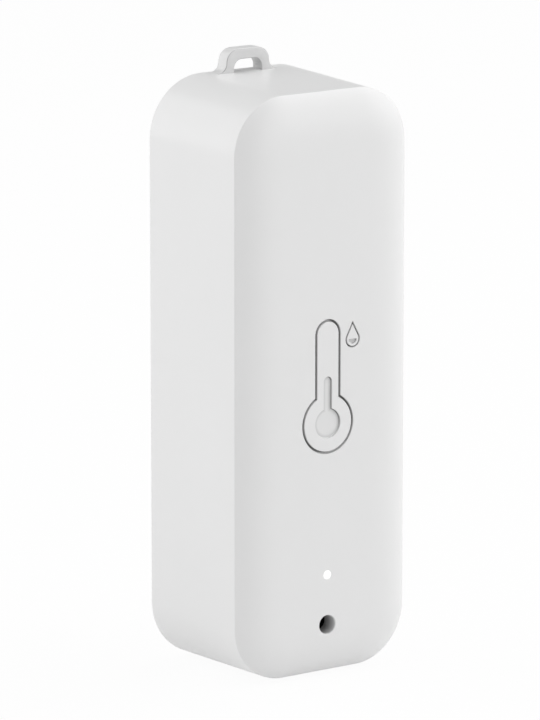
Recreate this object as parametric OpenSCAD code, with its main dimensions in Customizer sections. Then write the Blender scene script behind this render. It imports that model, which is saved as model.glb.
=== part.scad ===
// Pocket temperature and humidity sensor: a drafted one-piece front shell with a crowned
// face and a hanging loop, a chassis that carries two AAA cells and the circuit board, and a
// battery door that swings on two stub pins at its top edge.
// Millimetres, +Z up, the crowned face looks along -Y. The origin is under the middle of the
// box, at the level of the lowest edge.

/* [Housing] */
// Thickness of the side walls
wall = 1.6; // [1.2:0.1:2]
// Thickness of the front wall
front_wall = 1.6; // [1.2:0.1:2]
// Corner radius of the outline at the rear rim
corner_r = 7.5; // [6.5:0.25:9]
// How far each side draws in from the rear rim to the front crease
draft_in = 0.5; // [0.1:0.1:0.7]
// Room between a cell and the side wall
side_room = 0.75; // [0.6:0.05:4]
// Room for parts between the circuit board and the front wall
parts_room = 2.6; // [2.4:0.1:8]
// Height of the button compartment below the cells
button_room = 10.9; // [10:0.1:20]
// Height of the fixed strip above the battery door
strip_h = 5; // [4.5:0.1:8]

/* [Crowned face] */
// Depth of the crown in front of the crease
crown_d = 1.7; // [1.2:0.1:2.2]
// Width of the crown's curve, from the crease to the flat of the face
crown_in = 3.5; // [2.6:0.1:4.2]

/* [Hanging loop] */
// Outer width of the loop
loop_w = 6.3; // [5:0.1:9]
// Height of the loop above the top face
loop_h = 2.8; // [2.2:0.1:5]
// Depth of the loop along the housing's depth
loop_d = 1.95; // [1.2:0.05:3]
// Thickness of the loop's legs
loop_leg = 1.15; // [0.8:0.05:1.6]
// Thickness of the loop's top bar
loop_bar = 1.3; // [0.8:0.05:1.6]
// Outer corner radius of the loop
loop_r = 1.9; // [1:0.1:2.2]
// Distance of the loop's rear face in front of the rear rim
loop_back = 0.3; // [0.1:0.1:2]

/* [Face details] */
// Radius of the air port to the humidity sensor
vent_r = 1.2; // [0.8:0.1:1.8]
// Length of the air port
vent_l = 2.3; // [1.9:0.1:2.8]
// Height of the air port above the base
vent_z = 6.75; // [6.25:0.25:8]
// Radius of the indicator window
window_r = 0.6; // [0.4:0.05:0.9]
// Height of the indicator window above the base
window_z = 12.9; // [12.4:0.1:14]
// Height of the thermometer bulb's centre above the base
icon_z = 31.7; // [24:0.1:40]
// Radius of the thermometer bulb's outline
bulb_r = 3.6; // [3:0.1:4.2]
// Half the width of the thermometer's tube outline
tube_r = 1.71; // [1.2:0.01:2]
// Height of the tube's top above the bulb's centre
tube_h = 12.65; // [9:0.05:15]
// Width of the engraved lines
line_w = 0.35; // [0.2:0.05:0.5]
// Depth of the engraving
line_d = 0.3; // [0.2:0.05:0.5]

/* [Cells] */
// Diameter of a cell
cell_d = 10.5; // [9.5:0.1:14.5]
// Length of a cell with its nub
cell_l = 44.5; // [43:0.1:50.5]
// Thickness of the cell's printed sleeve
sleeve_t = 0.15; // [0.1:0.05:0.2]
// Radius of the cell's positive nub
nub_r = 1.9; // [1.5:0.1:1.95]
// Height of the cell's positive nub
nub_h = 1; // [0.8:0.1:1.2]

/* [Contacts] */
// Thickness of the contact plates
plate_t = 0.3; // [0.2:0.05:0.4]
// Height of the dimple that meets the nub
dimple_h = 0.5; // [0.3:0.1:0.7]
// Length of a contact spring with a cell in place
spring_l = 4.8; // [4.4:0.1:5.4]
// Wire diameter of the contact springs
wire_d = 0.6; // [0.4:0.05:0.7]
// Radius of a contact spring at its plate
spring_base_r = 2.9; // [2.4:0.1:3.4]
// Radius of a contact spring at the cell
spring_tip_r = 2.1; // [1.8:0.1:2.3]
// Turns of a contact spring
spring_turns = 3.75; // [3:0.25:3.75]

/* [Chassis and door] */
// Thickness of the battery door
door_t = 1.4; // [1.2:0.1:1.6]
// Gap round the battery door
door_gap = 0.15; // [0.1:0.05:0.25]
// Radius of the door's hinge barrel
barrel_r = 1; // [0.9:0.05:1.2]
// Radius of the door's stub pins
pin_r = 0.5; // [0.4:0.05:0.6]
// Running clearance round the stub pins
pin_gap = 0.05; // [0.02:0.01:0.09]
// Thickness of the chassis web under the cells
web_t = 1; // [0.8:0.1:1.2]
// Thickness of the walls at the two ends of the battery bay
end_wall = 1.2; // [1:0.1:1.4]

/* [Board and button] */
// Thickness of the circuit board
board_t = 1; // [0.8:0.1:1.2]
// Travel of the pairing button
button_travel = 0.3; // [0.2:0.05:0.4]
// Radius of the pairing button's stem
button_r = 2; // [1.6:0.1:2.4]
// Radius of the screws' shanks
screw_r = 0.95; // [0.8:0.05:1.1]

/* [Hidden] */
$fn = 64;

// Overlap of a cut or of a joined feature, so that no two faces coincide
over = 0.2;
// Fit of the chassis in the shell, and of the board within the chassis's outline
fit_gap = 0.2;
board_gap = 0.9;
// Gap that lets a seated piece touch its neighbour without overlapping it
seat_gap = 0.05;
// Gaps round the cells
cell_gap = 0.3;
cell_door_gap = 0.3;
cradle_gap = 0.15;
// Room for the solder joints behind the board
solder_gap = 0.45;
// Wall between the battery bay and the top of the door
hinge_cover = 0.35;

// The housing is as large as what it holds: 26 wide, 19 deep and 72.4 high at these sizes
bay_l = cell_l + 2 * plate_t + dimple_h + spring_l;
housing_w = 2 * (cell_d + side_room + wall) + cell_gap;
housing_d = front_wall + parts_room + board_t + solder_gap + web_t + cradle_gap + cell_d
    + cell_door_gap + door_t;
housing_h = 2 * wall + button_room + 2 * end_wall + bay_l + hinge_cover + door_gap + strip_h;

// Depth stations, from the front to the rear
front_y = -housing_d / 2;
rear_y = housing_d / 2;
crease_y = front_y + crown_d;
inner_front_y = front_y + front_wall;
vent_end_y = front_y + vent_l;
board_front_y = inner_front_y + parts_room;
board_rear_y = board_front_y + board_t;
web_front_y = board_rear_y + solder_gap;
web_rear_y = web_front_y + web_t;
cell_y = web_rear_y + cradle_gap + cell_d / 2;
door_inner_y = rear_y - door_t;
seat_y = door_inner_y - seat_gap;

// Draft: each face draws in by this much per millimetre towards the front
draft = draft_in / (rear_y - crease_y);
function drawn_in(y) = draft * (rear_y - y);
function half_w(inset, y) = housing_w / 2 - inset - drawn_in(y);
function half_h(inset, y) = housing_h / 2 - inset - drawn_in(y);
function corner_at(inset, y) = corner_r - inset - drawn_in(y);
mid_z = housing_h / 2;
corner_x = housing_w / 2 - corner_r;
corner_z = housing_h / 2 - corner_r;
// The crown's arc meets the flat of the face at a tangent and ends at the crease
crown_r = (crown_in * crown_in + crown_d * crown_d) / (2 * crown_d);

// Heights in the battery bay, from the door's top edge down
door_top_z = housing_h - wall - strip_h - door_gap;
bay_top_z = door_top_z - end_wall - hinge_cover;
bay_bottom_z = bay_top_z - bay_l;
cell_x = (cell_d + cell_gap) / 2;
left_cell_z = bay_bottom_z + plate_t + spring_l;
right_cell_z = bay_bottom_z + plate_t + dimple_h;

// Hinge of the door, in two lugs of the chassis
hinge_y = rear_y - barrel_r;
hinge_z = door_top_z - barrel_r;
lug_w = 1.6;
lug_gap = 0.15;
lug_side = 2.3;
lug_x = housing_w / 2 - wall - door_gap - lug_side - lug_gap - lug_w / 2;

// Switch on the rear of the board, and the pairing button that presses it
button_z = wall + button_room / 2;
switch_w = 6;
switch_h = 3.3;
plunger_r = 1.7;
plunger_h = 1.2;
plunger_gap = 0.05;
plunger_well = 0.6;
switch_rear_y = board_rear_y + switch_h;
plunger_rear_y = switch_rear_y + plunger_h;
button_flange_r = button_r + 0.7;
button_flange_t = 0.7;
button_gap = 0.1;
button_proud = 1;

// Deck of the lower compartment, with the button and the screws
deck_t = 1.2;
deck_front_y = plunger_rear_y + button_flange_t + button_gap;
deck_rear_y = deck_front_y + deck_t;
chassis_wall = 1.2;
boss_r = 2;
boss_gap = 0.3;
screw_x = housing_w / 2 - draft_in - wall - fit_gap - chassis_wall - boss_r;
screw_l = 6;
head_r = 1.9;
head_h = 1.3;

// Posts of the shell that the chassis's tongue rests on
post_r = 1.2;
post_out = 3;
post_up = 0.5;
post_x = corner_x + post_out;
post_z = door_top_z + post_up;

// Pegs of the chassis that hold the circuit board
peg_r = 0.9;
peg_head = 0.5;
peg_gap = 0.1;
peg_side = 1.1;
peg_down = 3.4;
peg_x = housing_w / 2 - draft_in - wall - board_gap - peg_r - peg_side;
peg_z = bay_top_z - peg_down;
board_over_peg = 2.4;
board_top_z = peg_z + board_over_peg;

// Basic shapes

// Block across the given box
module box(x0, x1, y0, y1, z0, z1) {
    translate([x0, y0, z0]) cube([x1 - x0, y1 - y0, z1 - z0]);
}

// Block of width w and height h about (x, z), from y0 to y1
module block_y(x, z, w, h, y0, y1) {
    box(x - w / 2, x + w / 2, y0, y1, z - h / 2, z + h / 2);
}

// Round bar of radius r along Y, from y0 to y1
module bar_y(x, z, r, y0, y1) {
    translate([x, y0, z]) rotate([-90, 0, 0]) cylinder(h = y1 - y0, r = r);
}

// Round bar of radius r along X, from x0 to x1
module bar_x(y, z, r, x0, x1) {
    translate([x0, y, z]) rotate([0, 90, 0]) cylinder(h = x1 - x0, r = r);
}

// Cone along Y from radius r0 at y0 to r1 at y1
module cone_y(x, z, r0, r1, y0, y1) {
    translate([x, y0, z]) rotate([-90, 0, 0]) cylinder(h = y1 - y0, r1 = r0, r2 = r1);
}

// Drafted rounded block, inset from the housing's outer faces
module drafted_block(inset, y0, y1) {
    translate([0, 0, mid_z]) {
        linear_extrude(2 * corner_z, center = true)
            polygon([[-half_w(inset, y0), y0], [half_w(inset, y0), y0],
                     [half_w(inset, y1), y1], [-half_w(inset, y1), y1]]);
        rotate([0, -90, 0]) linear_extrude(2 * corner_x, center = true)
            polygon([[-half_h(inset, y0), y0], [half_h(inset, y0), y0],
                     [half_h(inset, y1), y1], [-half_h(inset, y1), y1]]);
        for (sx = [-1, 1], sz = [-1, 1])
            translate([sx * corner_x, y0, sz * corner_z]) rotate([-90, 0, 0])
                cylinder(h = y1 - y0, r1 = corner_at(inset, y0), r2 = corner_at(inset, y1));
    }
}

// Section of the housing across one pair of faces: drafted sides and a crowned front.
// half is half the size at the rear rim.
module housing_section(half) {
    crease = half - draft_in;
    polygon([[-half, rear_y], [-crease, crease_y], [crease, crease_y], [half, rear_y]]);
    intersection() {
        translate([-crease, front_y]) square([2 * crease, crown_d]);
        union() {
            translate([crown_in - crease, front_y]) square([2 * (crease - crown_in), crown_d]);
            for (side = [-1, 1])
                translate([side * (crease - crown_in), front_y + crown_r]) circle(crown_r);
        }
    }
}

// The right half of a section, to turn about a corner's axis
module corner_section() {
    intersection() {
        housing_section(corner_r);
        translate([0, front_y]) square([corner_r, housing_d]);
    }
}

// Outer form of the housing, without its loop
module housing_form() {
    translate([0, 0, mid_z]) {
        linear_extrude(2 * corner_z, center = true) housing_section(housing_w / 2);
        rotate([0, -90, 0]) linear_extrude(2 * corner_x, center = true)
            housing_section(housing_h / 2);
        for (sx = [-1, 1], sz = [-1, 1])
            translate([sx * corner_x, 0, sz * corner_z]) rotate([-90, 0, 0])
                rotate_extrude() corner_section();
    }
}

// Hanging loop, with its feet sunk into the top wall
loop_sink = 0.8;
loop_flare = 0.7;
module hanging_loop() {
    half = loop_w / 2;
    inner_r = max(loop_r - loop_leg, 0.3);
    translate([0, rear_y - loop_back, housing_h]) rotate([90, 0, 0]) linear_extrude(loop_d)
        difference() {
            union() {
                translate([-half, -loop_sink]) square([loop_w, loop_sink + loop_h - loop_r]);
                translate([loop_r - half, -loop_sink])
                    square([loop_w - 2 * loop_r, loop_sink + loop_h]);
                for (side = [-1, 1]) {
                    translate([side * (half - loop_r), loop_h - loop_r]) circle(loop_r);
                    foot_flare(side, half);
                }
            }
            union() {
                translate([loop_leg - half, -loop_sink - over])
                    square([loop_w - 2 * loop_leg, loop_sink + over + loop_h - loop_bar - inner_r]);
                translate([loop_leg + inner_r - half, -loop_sink - over])
                    square([loop_w - 2 * (loop_leg + inner_r), loop_sink + over + loop_h - loop_bar]);
                for (side = [-1, 1])
                    translate([side * (half - loop_leg - inner_r), loop_h - loop_bar - inner_r])
                        circle(inner_r);
            }
        }
}

// Hollow flare where a leg of the loop runs out into the top face
module foot_flare(side, half) {
    translate([side * half, 0]) mirror([side < 0 ? 1 : 0, 0]) difference() {
        translate([-over, -loop_sink]) square([loop_flare + over, loop_flare + loop_sink]);
        translate([loop_flare, loop_flare]) circle(loop_flare);
    }
}

// Thermometer and drop engraved on the face
mercury_r = 0.58;
mercury_bulb_r = 1.82;
mercury_h = 5.75;
drop_x = 3.65;
drop_z = icon_z + 9.95;
drop_r = 0.95;
drop_tip = 2.17;
drop_fill_r = 0.58;

// Outline of the thermometer, grown by g
module thermometer(g) {
    circle(bulb_r + g);
    translate([-tube_r - g, 0]) square([2 * (tube_r + g), tube_h - tube_r]);
    translate([0, tube_h - tube_r]) circle(tube_r + g);
}

// Outline of a drop with its tip up, grown by g: a circle and its two tangents from the tip
module drop(g) {
    r = drop_r + g;
    tip = drop_tip * r / drop_r;
    lean = asin(r / tip);
    circle(r);
    polygon([[0, tip], [r * cos(lean), r * sin(lean)], [0, 0], [-r * cos(lean), r * sin(lean)]]);
}

module engraving() {
    translate([0, front_y + line_d, icon_z]) rotate([90, 0, 0]) linear_extrude(line_d + over) {
        difference() {
            thermometer(line_w / 2);
            thermometer(-line_w / 2);
        }
        circle(mercury_bulb_r);
        translate([-mercury_r, 0]) square([2 * mercury_r, mercury_h - mercury_r]);
        translate([0, mercury_h - mercury_r]) circle(mercury_r);
        translate([drop_x, drop_z - icon_z]) {
            difference() {
                drop(line_w / 4);
                drop(-line_w / 4);
            }
            intersection() {
                circle(drop_fill_r);
                translate([-drop_r, -drop_r]) square([2 * drop_r, drop_r]);
            }
        }
    }
}

// Pieces of the housing

rib_w = 3;
rib_in = 1;
rib_x = corner_x - rib_in;
rib_t = 1.2;
rib_drop = 2.2;
vent_wall = 1.1;
vent_bevel = 0.12;
window_gap = 0.02;
tongue_gap = 0.8;
notch_r = 4;
notch_in = 0.9;

module front_shell() {
    color("white") difference() {
        union() {
            difference() {
                housing_form();
                drafted_block(wall, inner_front_y, rear_y + over);
            }
            hanging_loop();
            bar_y(0, vent_z, vent_r + vent_wall, inner_front_y - over, vent_end_y);
            for (side = [-1, 1]) {
                bar_y(side * screw_x, button_z, boss_r, inner_front_y - over, deck_front_y);
                bar_y(side * post_x, post_z, post_r, inner_front_y - over, web_front_y - seat_gap);
                retaining_rib(side * rib_x);
            }
        }
        bar_y(0, vent_z, vent_r, front_y - over, vent_end_y + over);
        cone_y(0, vent_z, vent_r + vent_bevel + over, vent_r, front_y - over, front_y + vent_bevel);
        bar_y(0, window_z, window_r + window_gap, front_y - over, inner_front_y + over);
        engraving();
        for (side = [-1, 1])
            bar_y(side * screw_x, button_z, screw_r + pin_gap, deck_front_y - screw_l, deck_front_y + over);
        nail_notch();
    }
}

// Rib under the top wall that the chassis's tongue tucks behind
module retaining_rib(x) {
    y0 = web_rear_y + 2 * seat_gap;
    top_z = housing_h - wall - drawn_in(y0);
    box(x - rib_w / 2, x + rib_w / 2, y0, y0 + rib_t, top_z - rib_drop, top_z + wall / 2);
}

// Scoop in the bottom rim for a fingernail under the door's lower edge
module nail_notch() {
    translate([0, rear_y, -notch_r + wall + over]) rotate([90, 0, 0])
        translate([0, 0, -over]) cylinder(h = notch_in + over, r = notch_r);
}

pipe_flange_r = 1.2;
pipe_flange_t = 0.6;
led_h = 0.6;

module light_pipe() {
    color("whitesmoke") {
        bar_y(0, window_z, window_r, front_y, board_front_y - led_h - seat_gap);
        bar_y(0, window_z, pipe_flange_r, inner_front_y, inner_front_y + pipe_flange_t);
    }
}

gasket_r = 3.1;
gasket_bore_r = 1.9;

module vent_gasket() {
    color("dimgray") difference() {
        bar_y(0, vent_z, gasket_r, vent_end_y, board_front_y);
        bar_y(0, vent_z, gasket_bore_r, vent_end_y - over, board_front_y + over);
    }
}

// Chassis

tail_w = 2;
tail_gap = 0.2;
side_wall = 1.3;
trough_lip = 1.5;

module chassis() {
    inset = wall + fit_gap;
    color("gainsboro") difference() {
        union() {
            difference() {
                chassis_block(inset);
                battery_bay();
                lower_compartment(inset + chassis_wall);
                top_compartment();
            }
            for (side = [-1, 1]) {
                hinge_lug(side);
                board_peg(side);
            }
        }
        for (side = [-1, 1]) {
            bar_x(hinge_y, hinge_z, pin_r + pin_gap, side * lug_x - lug_w, side * lug_x + lug_w);
            bar_y(side * screw_x, button_z, screw_r + fit_gap, deck_front_y - over, deck_rear_y + over);
            tail_slot(side * cell_x, web_front_y - over, cell_y);
            plate_slot(side * cell_x, plate_w, bay_bottom_z);
        }
        plate_slot(0, bridge_w, bay_top_z - plate_t - seat_gap);
        bar_y(0, button_z, button_r + 2 * seat_gap, deck_front_y - over, deck_rear_y + over);
    }
}

// The chassis before its hollows: up to the door's seat, and flush with the rim above the door
module chassis_block(inset) {
    strip_z = door_top_z + door_gap;
    difference() {
        drafted_block(inset, web_front_y, rear_y);
        box(-housing_w, housing_w, seat_y, rear_y + over, -over, strip_z);
        // Room round the hinge barrel
        box(-housing_w, housing_w, hinge_y - barrel_r - 2 * door_gap, rear_y + over,
            bay_top_z, strip_z);
    }
}

// Lug that hangs from the strip and holds a stub pin of the door
module hinge_lug(side) {
    translate([side * lug_x - lug_w / 2, 0, 0]) rotate([90, 0, 90]) linear_extrude(lug_w) {
        translate([hinge_y, hinge_z]) circle(barrel_r);
        translate([hinge_y - barrel_r, hinge_z])
            square([2 * barrel_r, barrel_r + door_gap + over]);
    }
}

// Shouldered peg that the circuit board is staked on
module board_peg(side) {
    bar_y(side * peg_x, peg_z, peg_r, board_front_y - peg_head, web_front_y + over);
    bar_y(side * peg_x, peg_z, peg_r + peg_head, board_rear_y, web_front_y + over);
    bar_y(side * peg_x, peg_z, peg_r + peg_head, board_front_y - peg_head, board_front_y);
}

// Two troughs for the cells, open to the rear and to both sides
module battery_bay() {
    r = cell_d / 2 + cradle_gap;
    for (side = [-1, 1])
        translate([side * cell_x, cell_y, bay_bottom_z]) linear_extrude(bay_l) intersection() {
            circle(r);
            translate([-r, -r]) square([2 * r, r - trough_lip + over]);
        }
    box(-housing_w, housing_w, cell_y - trough_lip, rear_y + over, bay_bottom_z, bay_top_z);
}

// Hollows before and behind the deck, below the battery bay
module lower_compartment(inset) {
    intersection() {
        union() {
            drafted_block(inset, web_front_y - over, deck_front_y);
            drafted_block(inset, deck_rear_y, rear_y + over);
        }
        box(-housing_w, housing_w, front_y, rear_y + 2 * over, 0, bay_bottom_z - end_wall);
    }
}

// Hollow above the battery bay, open at the top
module top_compartment() {
    x = half_w(wall + fit_gap + side_wall, web_front_y);
    box(-x, x, web_rear_y, door_inner_y, bay_top_z + end_wall, housing_h);
    // The tongue ends short of the top wall
    box(-housing_w, housing_w, web_front_y - over, web_rear_y + over,
        housing_h - wall - tongue_gap, housing_h);
}

// Slot for the solder tail of a contact plate
module tail_slot(x, y0, y1) {
    box(x - tail_w / 2 - tail_gap, x + tail_w / 2 + tail_gap, y0, y1,
        bay_bottom_z - tail_gap, bay_bottom_z + plate_t + tail_gap);
}

// Slot that holds the edges of a contact plate at an end of the bay, from z0 upwards
module plate_slot(x, w, z0) {
    box(x - w / 2 - tail_gap, x + w / 2 + tail_gap, plate_front_y - tail_gap, cell_y,
        z0, z0 + plate_t + seat_gap);
}

module chassis_screws() {
    color("silver") for (side = [-1, 1]) difference() {
        union() {
            bar_y(side * screw_x, button_z, screw_r, deck_rear_y - screw_l, deck_rear_y + over);
            bar_y(side * screw_x, button_z, head_r, deck_rear_y, deck_rear_y + head_h);
        }
        cross_recess(side * screw_x);
    }
}

recess_l = 2.2;
recess_w = 0.5;
recess_d = 0.8;
module cross_recess(x) {
    for (turn = [0, 90])
        translate([x, deck_rear_y + head_h, button_z]) rotate([0, turn, 0])
            box(-recess_l / 2, recess_l / 2, -recess_d, over, -recess_w / 2, recess_w / 2);
}

// Circuit board and what is soldered to it

module circuit_board() {
    color("seagreen") difference() {
        intersection() {
            drafted_block(wall + board_gap, board_front_y, board_rear_y);
            box(-housing_w, housing_w, front_y, rear_y, 0, board_top_z);
        }
        for (side = [-1, 1]) {
            bar_y(side * screw_x, button_z, boss_r + boss_gap, board_front_y - over, board_rear_y + over);
            bar_y(side * peg_x, peg_z, peg_r + peg_gap, board_front_y - over, board_rear_y + over);
            tail_slot(side * cell_x, board_front_y - over, board_rear_y + over);
        }
    }
}

// A part of width w, height h and thickness t, soldered to the front of the board at (x, z)
module soldered(x, z, w, h, t) {
    block_y(x, z, w, h, board_front_y - t, board_front_y);
}

radio_w = 16;
radio_h = 24;
radio_t = 0.8;
radio_gap = 1.6;
radio_z = peg_z - peg_r - radio_gap - radio_h / 2;

module radio_board() {
    color("darkgreen") soldered(0, radio_z, radio_w, radio_h, radio_t);
}

// The shield sits at the lower end of the radio board, below its printed aerial
shield_w = 13;
shield_h = 14;
shield_t = 1.3;
shield_up = 1;
shield_z = radio_z - radio_h / 2 + shield_up + shield_h / 2;

module radio_shield() {
    color("silver") translate([0, -radio_t, 0]) soldered(0, shield_z, shield_w, shield_h, shield_t);
}

chip_w = 2.5;
chip_t = 0.9;
chip_eye_r = 0.5;
chip_eye_d = 0.3;

module humidity_chip() {
    color("black") difference() {
        soldered(0, vent_z, chip_w, chip_w, chip_t);
        bar_y(0, vent_z, chip_eye_r, board_front_y - chip_t - over, board_front_y - chip_t + chip_eye_d);
    }
}

led_w = 1.6;
led_l = 0.8;
module status_led() {
    color("ivory") soldered(0, window_z, led_w, led_l, led_h);
}

// The larger parts stand in two columns beside the small ones
column_x = 5.5;
power_w = 2.9;
power_l = 1.6;
power_t = 1.1;
power_up = 6;
module power_chip() {
    color("black") soldered(-column_x, bay_bottom_z + power_up, power_w, power_l, power_t);
}

inductor_w = 3;
inductor_t = 1.5;
inductor_up = 11;
module inductor() {
    color("dimgray")
        soldered(-column_x, bay_bottom_z + inductor_up, inductor_w, inductor_w, inductor_t);
}

capacitor_w = 2.8;
capacitor_l = 3.5;
capacitor_t = 1.9;
capacitor_up = 10;
module bulk_capacitor() {
    color("goldenrod")
        soldered(column_x, bay_bottom_z + capacitor_up, capacitor_w, capacitor_l, capacitor_t);
}

// Two columns of small chip resistors and capacitors
passive_w = 1.6;
passive_h = 0.8;
passive_t = 0.5;
passive_x = 1.6;
passive_up = 5;
passive_pitch = 2.2;
passive_rows = 5;
module chip_passives() {
    color("tan") for (side = [-1, 1], row = [0 : passive_rows - 1])
        soldered(side * passive_x, bay_bottom_z + passive_up + row * passive_pitch,
                 passive_w, passive_h, passive_t);
}

module button_switch() {
    color("black") difference() {
        block_y(0, button_z, switch_w, switch_w, board_rear_y, switch_rear_y);
        bar_y(0, button_z, plunger_r + plunger_gap, switch_rear_y - plunger_well, switch_rear_y + over);
    }
}

// Contacts of the battery bay

plate_margin = 0.9;
plate_lift = 0.5;
plate_front_y = web_rear_y + plate_lift;
plate_rear_y = hinge_y - barrel_r - 3 * door_gap;
plate_w = cell_d - 2 * plate_margin;
bridge_w = 2 * cell_x + plate_w;
dimple_r = 1.6;
dimple_tip_r = 1;

// Flat plate across one end of a cell, from z0 upwards
module contact_plate(x, w, z0) {
    box(x - w / 2, x + w / 2, plate_front_y, plate_rear_y, z0, z0 + plate_t);
}

// Solder tail from a plate through the web and the board
module solder_tail(x, z0) {
    box(x - tail_w / 2, x + tail_w / 2, board_front_y - solder_gap, plate_front_y + over, z0, z0 + plate_t);
}

// Raised dimple that meets a nub, pointing up or down from z
module dimple(x, z, up) {
    translate([x, cell_y, z]) rotate([up ? 0 : 180, 0, 0])
        translate([0, 0, -plate_t / 2])
            cylinder(h = dimple_h + plate_t / 2 - seat_gap, r1 = dimple_r, r2 = dimple_tip_r);
}

module negative_plate() {
    color("silver") {
        contact_plate(-cell_x, plate_w, bay_bottom_z);
        solder_tail(-cell_x, bay_bottom_z);
    }
}

module positive_plate() {
    color("silver") {
        contact_plate(cell_x, plate_w, bay_bottom_z);
        solder_tail(cell_x, bay_bottom_z);
        dimple(cell_x, bay_bottom_z + plate_t, true);
    }
}

module bridge_plate() {
    color("silver") {
        contact_plate(0, bridge_w, bay_top_z - plate_t);
        dimple(-cell_x, bay_top_z - plate_t, false);
    }
}

// Conical contact spring: one unbroken wire wound from its plate to the cell
wire_sides = 6;
rings_per_turn = 16;
spring_rings = floor(spring_turns * rings_per_turn);
spring_rise = spring_l - wire_d - 2 * seat_gap;
function spring_radius(t) = spring_base_r + (spring_tip_r - spring_base_r) * t;
function spring_point(i) =
    let (t = i / spring_rings, turn = 360 * i / rings_per_turn, r = spring_radius(t))
    [r * cos(turn), r * sin(turn), seat_gap + wire_d / 2 + spring_rise * t];
function unit(v) = v / norm(v);
function spring_ring(i) =
    let (p = spring_point(i), turn = 360 * i / rings_per_turn,
         along = unit(spring_point(i + 0.5) - spring_point(i - 0.5)),
         out0 = [cos(turn), sin(turn), 0],
         out = unit(out0 - (out0 * along) * along),
         up = cross(along, out))
    [for (k = [0 : wire_sides - 1])
        p + wire_d / 2 * (cos(360 * k / wire_sides) * out + sin(360 * k / wire_sides) * up)];

// Least gap between turns, measured on the wire's centreline points
spring_gap = min([for (i = [0 : spring_rings], j = [i + rings_per_turn - 4 : spring_rings])
    norm(spring_point(i) - spring_point(j))]) - wire_d;
echo(least_gap_between_spring_turns = spring_gap);

module contact_spring() {
    n = wire_sides;
    points = [for (i = [0 : spring_rings]) each spring_ring(i)];
    last = spring_rings * n;
    sides = [for (i = [0 : spring_rings - 1], k = [0 : n - 1])
        let (a = i * n + k, b = i * n + (k + 1) % n) each [[a, a + n, b], [b, a + n, b + n]]];
    caps = [for (k = [1 : n - 2]) each [[0, k, k + 1], [last, last + k + 1, last + k]]];
    polyhedron(points, concat(sides, caps));
}

module negative_spring() {
    color("silver") translate([-cell_x, cell_y, bay_bottom_z + plate_t]) contact_spring();
}

module bridge_spring() {
    color("silver") translate([cell_x, cell_y, bay_top_z - plate_t]) rotate([180, 0, 0])
        contact_spring();
}

// Cells, drawn with the negative end at the origin and the nub up

can_r = cell_d / 2 - sleeve_t;
washer_r = 4;
washer_t = 0.2;
sleeve_end = 0.4;

module cell_can() {
    cylinder(h = cell_l - nub_h, r = can_r);
    cylinder(h = cell_l, r = nub_r);
}

module cell_sleeve() {
    translate([0, 0, sleeve_end]) difference() {
        cylinder(h = cell_l - nub_h - 2 * sleeve_end, r = cell_d / 2);
        translate([0, 0, -over]) cylinder(h = cell_l, r = can_r);
    }
}

module cell_washer() {
    translate([0, 0, cell_l - nub_h]) difference() {
        cylinder(h = washer_t, r = washer_r);
        translate([0, 0, -over]) cylinder(h = nub_h, r = nub_r);
    }
}

// The left cell stands with its nub up, and the right one with its nub down
module in_left_cradle() {
    translate([-cell_x, cell_y, left_cell_z]) children();
}

module in_right_cradle() {
    translate([cell_x, cell_y, right_cell_z + cell_l]) rotate([180, 0, 0]) children();
}

// Pairing button

module switch_plunger() {
    plunger_tip_y = switch_rear_y - plunger_well + button_travel + seat_gap;
    color("dimgray") bar_y(0, button_z, plunger_r, plunger_tip_y, plunger_rear_y);
}

module pairing_button() {
    color("gainsboro") {
        bar_y(0, button_z, button_flange_r, plunger_rear_y, plunger_rear_y + button_flange_t);
        bar_y(0, button_z, button_r, plunger_rear_y, deck_rear_y + button_proud);
    }
}

// Battery door

door_rib_t = 1;
door_rib_d = 1.6;
door_rib_ends = 8;
grip_rows = 4;
grip_w = 8;
grip_pitch = 1.5;
grip_line = 0.6;
grip_d = 0.35;
grip_z = 9;
scoop_r = 3;
scoop_w = 9;
scoop_d = 0.6;
scoop_up = 2.6;
scoop_z = wall + scoop_up;
bead_r = 0.3;
bead_w = 6;
bead_out = 0.1;

module battery_door() {
    inner_x = lug_x - lug_w / 2 - lug_gap;
    outer_x = lug_x + lug_w / 2 + lug_gap;
    color("white") difference() {
        union() {
            intersection() {
                drafted_block(wall + door_gap, door_inner_y, rear_y);
                union() {
                    box(-housing_w, housing_w, 0, rear_y + over, 0, hinge_z);
                    bar_x(hinge_y, hinge_z, barrel_r, -housing_w, housing_w);
                }
            }
            bar_x(hinge_y, hinge_z, barrel_r, -inner_x, inner_x);
            for (x = [-1, 0, 1])
                door_rib(x * (half_w(wall + door_gap, rear_y) - door_rib_t));
            bar_x(rear_y - door_t / 2, wall + door_gap + bead_r - bead_out, bead_r,
                  -bead_w / 2, bead_w / 2);
            stub_pins(inner_x);
        }
        // Notches round the lugs, with the stub pins left standing
        difference() {
            for (side = [-1, 1])
                lug_notch(side, inner_x, outer_x);
            stub_pins(inner_x);
        }
        for (row = [0 : grip_rows - 1])
            box(-grip_w / 2, grip_w / 2, rear_y - grip_d, rear_y + over,
                grip_z + row * grip_pitch, grip_z + row * grip_pitch + grip_line);
        bar_x(rear_y + scoop_r - scoop_d, scoop_z, scoop_r, -scoop_w / 2, scoop_w / 2);
    }
}

// Stiffening rib along the inside of the door, beside or between the cells
module door_rib(x) {
    box(x - door_rib_t / 2, x + door_rib_t / 2, door_inner_y - door_rib_d, door_inner_y + over,
        bay_bottom_z + door_rib_ends, bay_top_z - door_rib_ends);
}

module lug_notch(side, inner_x, outer_x) {
    x0 = side > 0 ? inner_x : -outer_x;
    box(x0, x0 + outer_x - inner_x, door_inner_y - barrel_r, rear_y + over,
        hinge_z - barrel_r - lug_gap, door_top_z + over);
}

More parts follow.
